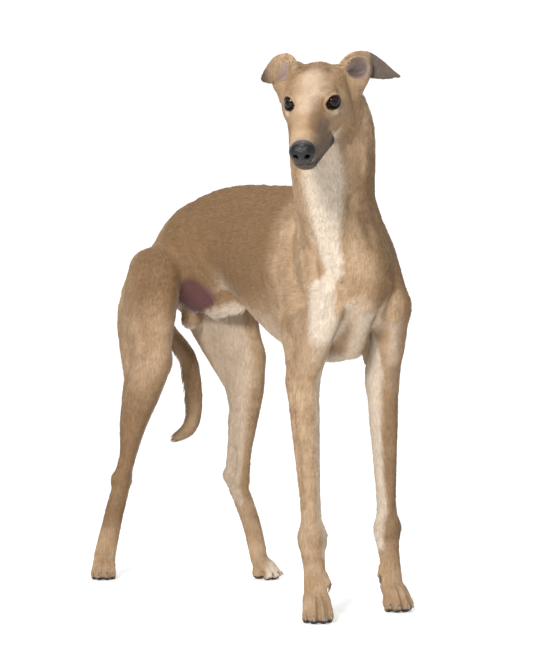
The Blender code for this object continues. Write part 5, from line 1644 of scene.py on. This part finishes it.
class CoatSettings(bpy.types.PropertyGroup):
    deep: bpy.props.FloatProperty(name="Coat depth",
                                  description="How deep the skin lies under the fur on the body",
                                  default=1.6 * MM, min=0, unit="LENGTH")
    shallow: bpy.props.FloatProperty(name="Coat depth on face and feet",
                                     description="The same on the face and feet",
                                     default=0.6 * MM, min=0, unit="LENGTH")
    tufts: bpy.props.IntProperty(name="Tufts", description="How many tufts the coat has", default=150000,
                                 min=1000)
    width: bpy.props.FloatProperty(name="Tuft width", description="Width of a tuft at its middle",
                                   default=1.3 * MM,
                                   min=0, unit="LENGTH")
    seed: bpy.props.IntProperty(name="Seed", description="Start of the coat's random draw", default=4)
    fawn: bpy.props.FloatVectorProperty(name="Fawn", description="Main colour of the fur", subtype="COLOR",
                                        default=(0.335, 0.218, 0.122))
    fawn_light: bpy.props.FloatVectorProperty(name="Light fawn", description="Paler patches of the fur",
                                              subtype="COLOR", default=(0.43, 0.300, 0.185))
    # Dark fawn also paints the shade on the neck and chest away from the key lamp, on the lower legs and down the
    # muzzle's left side
    fawn_dark: bpy.props.FloatVectorProperty(name="Dark fawn", description="Fur of the back and flanks",
                                             subtype="COLOR", default=(0.200, 0.114, 0.050))
    cream: bpy.props.FloatVectorProperty(name="Cream", description="Fur of the throat and chest",
                                         subtype="COLOR",
                                         default=(0.60, 0.51, 0.41))
    # Grey also paints the shade on the muzzle's faces turned to the dog's left
    grey: bpy.props.FloatVectorProperty(name="Grey", description="Fur of the muzzle and ears",
                                        subtype="COLOR",
                                        default=(0.080, 0.060, 0.048))
    bare: bpy.props.FloatVectorProperty(name="Bare skin", description="Skin of the groin", subtype="COLOR",
                                        default=(0.105, 0.042, 0.040))
    ear: bpy.props.FloatVectorProperty(name="Inner ear", description="Skin inside the ears", subtype="COLOR",
                                       default=(0.25, 0.175, 0.145))
    # The lips' colour also paints the shade deep in the ears' cups
    lip: bpy.props.FloatVectorProperty(name="Lips", description="Lips, lids and pads", subtype="COLOR",
                                       default=(0.014, 0.012, 0.012))
    nose: bpy.props.FloatVectorProperty(name="Nose", description="Nose leather", subtype="COLOR",
                                        default=(0.009, 0.009, 0.010))


class EyeSettings(bpy.types.PropertyGroup):
    iris: bpy.props.FloatVectorProperty(name="Iris", description="Colour of the iris", subtype="COLOR",
                                        default=(0.034, 0.014, 0.007))
    iris_dark: bpy.props.FloatVectorProperty(name="Iris rim", description="Darker colour of the iris",
                                             subtype="COLOR", default=(0.009, 0.005, 0.004))
    bulge: bpy.props.FloatProperty(name="Cornea", description="How far the cornea stands out",
                                   default=0.9 * MM,
                                   min=0, unit="LENGTH")
    claw: bpy.props.FloatVectorProperty(name="Claw", description="Colour of the claws", subtype="COLOR",
                                        default=(0.030, 0.024, 0.020))


class StageSettings(bpy.types.PropertyGroup):
    floor: bpy.props.FloatVectorProperty(name="Floor", description="Colour of the floor", subtype="COLOR",
                                         default=(0.86, 0.86, 0.86))
    focal: bpy.props.FloatProperty(name="Focal length",
                                   description="Focal length of the camera in millimetres",
                                   default=85.5, min=10)
    light: bpy.props.FloatProperty(name="Light", description="Strength of the lamps", default=1.0, min=0)


class GREYHOUND_OT_skin(bpy.types.Operator):
    """Makes the skin of the whole dog, with its markings"""
    bl_idname = "greyhound.skin"
    bl_label = "Skin"

    def execute(self, context):
        settings = context.scene.greyhound_coat
        clear_selection()
        skin = make_skin(settings.deep, settings.shallow)
        clear_selection()
        skin.select_set(True)
        context.view_layer.objects.active = skin
        bpy.ops.object.mode_set(mode="EDIT")
        bpy.ops.mesh.select_all(action="SELECT")
        bpy.ops.uv.smart_project(angle_limit=math.radians(66), island_margin=0.001)
        bpy.ops.object.mode_set(mode="OBJECT")
        skin.data.shade_smooth()
        p, normals = corners_of(skin), normals_of(skin)
        marks = markings(p, normals)
        for name in MARKS:
            store(skin, name, marks[name])
        store_ways(skin, p, lie_of(p, normals))
        place(skin)
        colours = colours_of(settings)
        skin.data.materials.clear()
        skin.data.materials.append(skin_material(coat_group(colours), colours))
        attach(skin, "root")
        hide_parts(*SKIN_NODES)
        return {"FINISHED"}


class GREYHOUND_OT_coat(bpy.types.Operator):
    """Covers the skin with short tufts that lie along the body"""
    bl_idname = "greyhound.coat"
    bl_label = "Coat"

    def execute(self, context):
        settings = context.scene.greyhound_coat
        skin = bpy.data.objects["skin"]
        material = tuft_material(bpy.data.node_groups["Coat"], colours_of(settings))
        for piece in make_coat(skin, settings.tufts, settings.width, settings.seed):
            place(piece)
            piece.data.materials.append(material)
            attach(piece, "root")
        return {"FINISHED"}


class GREYHOUND_OT_eyes(bpy.types.Operator):
    """Makes both eyes, each with its cornea, iris and pupil"""
    bl_idname = "greyhound.eyes"
    bl_label = "Eyes"

    def execute(self, context):
        settings = context.scene.greyhound_eyes
        material = eye_material(tuple(settings.iris), tuple(settings.iris_dark))
        for s, side in ((-1, "right"), (1, "left")):
            centre, across, crown, look = eye_axes(s)
            eye = globe(f"eyeball_{side}", centre, EYE_RADIUS, (across, crown, look), 5)
            p = corners_of(eye)
            way = (p - centre) / EYE_RADIUS
            turn = np.arccos(np.clip(way @ look, -1, 1))
            store(eye, "from_axis", turn)
            p += way * (settings.bulge * (1 - smoothstep(0.15, 0.75, turn)))[:, None] * 0.6
            move_to(eye, p)
            eye.data.shade_smooth()
            eye.data.materials.append(material)
            place(eye)
            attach(eye, "root")
            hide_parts(f"eye_{side}")
        return {"FINISHED"}


class GREYHOUND_OT_claws(bpy.types.Operator):
    """Makes the claws of all four paws and the two dewclaws"""
    bl_idname = "greyhound.claws"
    bl_label = "Claws"

    def execute(self, context):
        material = claw_material(tuple(context.scene.greyhound_eyes.claw))
        for name, where in {**claw_roots(FORE, FORE_PAW), **claw_roots(HIND, HIND_PAW)}.items():
            rings = claw_rings(*where)
            horn = tube(f"horn_{name}", rings)
            store(horn, "along", [*np.repeat(np.linspace(0, 1, len(rings)), 16), 0, 1])
            horn.data.shade_smooth()
            horn.data.materials.append(material)
            place(horn)
            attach(horn, "root")
            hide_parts(name)
        return {"FINISHED"}


class GREYHOUND_OT_stage(bpy.types.Operator):
    """Makes the floor, the lamps and the camera"""
    bl_idname = "greyhound.stage"
    bl_label = "Stage"

    def execute(self, context):
        settings = context.scene.greyhound_stage
        scene = context.scene
        clear_selection()
        away = unit((-math.sin(CAMERA_TURN), math.cos(CAMERA_TURN), 0))
        right = np.array([away[1], -away[0], 0])
        rows = [(-6.0, 0.0), (2.6, 0.0)]
        turns = np.linspace(0, math.pi / 2, 12)[1:]
        rows += [(2.6 + 1.2 * math.sin(t), 1.2 - 1.2 * math.cos(t)) for t in turns]
        rows += [(3.8, 7.0)]
        points = [away * far + right * across + np.array([0, 0, z]) for far, z in rows for across in (-9, 9)]
        faces = [(2 * i, 2 * i + 1, 2 * i + 3, 2 * i + 2) for i in range(len(rows) - 1)]
        floor = new_object("studio_floor", points, faces)
        floor.data.shade_smooth()
        floor.data.materials.append(floor_material(tuple(settings.floor)))
        world = bpy.data.worlds.new("Studio light")
        world.use_nodes = True
        world.node_tree.nodes["Background"].inputs["Color"].default_value = (1, 1, 1, 1)
        world.node_tree.nodes["Background"].inputs["Strength"].default_value = WORLD_LIGHT
        scene.world = world
        for name, (place_at, power, size) in LAMPS.items():
            lamp = bpy.data.lights.new(name, "AREA")
            lamp.energy = power * settings.light
            lamp.size = size
            obj = bpy.data.objects.new(name, lamp)
            scene.collection.objects.link(obj)
            obj.location = place_at
            obj.rotation_euler = (Vector((0, 0, 0.5)) - obj.location).to_track_quat("-Z", "Y").to_euler()
        data = bpy.data.cameras.new("camera")
        camera = bpy.data.objects.new("camera", data)
        scene.collection.objects.link(camera)
        data.sensor_width = 36
        data.lens = settings.focal
        camera.location = Vector(CAMERA_AT) - Vector(ORIGIN)
        level = math.cos(CAMERA_PITCH)
        ahead = Vector((-math.sin(CAMERA_TURN) * level, math.cos(CAMERA_TURN) * level,
                        math.sin(CAMERA_PITCH)))
        camera.rotation_euler = ahead.to_track_quat("-Z", "Y").to_euler()
        scene.camera = camera
        scene.view_settings.view_transform = "Standard"
        return {"FINISHED"}


class GREYHOUND_PT_panel(bpy.types.Panel):
    bl_idname = "GREYHOUND_PT_panel"
    bl_label = "Greyhound"
    bl_space_type = "VIEW_3D"
    bl_region_type = "UI"
    bl_category = "Greyhound"

    def draw(self, context):
        layout = self.layout
        for settings in (context.scene.greyhound_coat, context.scene.greyhound_eyes,
                         context.scene.greyhound_stage):
            box = layout.box()
            for name in settings.__annotations__:
                box.prop(settings, name)
        for maker in MAKERS:
            layout.operator(maker.bl_idname)


SETTINGS = {"greyhound_coat": CoatSettings, "greyhound_eyes": EyeSettings, "greyhound_stage": StageSettings}
MAKERS = (GREYHOUND_OT_skin, GREYHOUND_OT_coat, GREYHOUND_OT_eyes, GREYHOUND_OT_claws, GREYHOUND_OT_stage)


def register():
    for kind in (*SETTINGS.values(), *MAKERS, GREYHOUND_PT_panel):
        bpy.utils.register_class(kind)
    for name, kind in SETTINGS.items():
        setattr(bpy.types.Scene, name, bpy.props.PointerProperty(type=kind))


def unregister():
    for name in SETTINGS:
        delattr(bpy.types.Scene, name)
    for kind in (GREYHOUND_PT_panel, *reversed(MAKERS), *SETTINGS.values()):
        bpy.utils.unregister_class(kind)


def main():
    register()
    bpy.ops.greyhound.skin()
    bpy.ops.greyhound.coat()
    bpy.ops.greyhound.eyes()
    bpy.ops.greyhound.claws()
    bpy.ops.greyhound.stage()


if __name__ == "__main__":
    main()
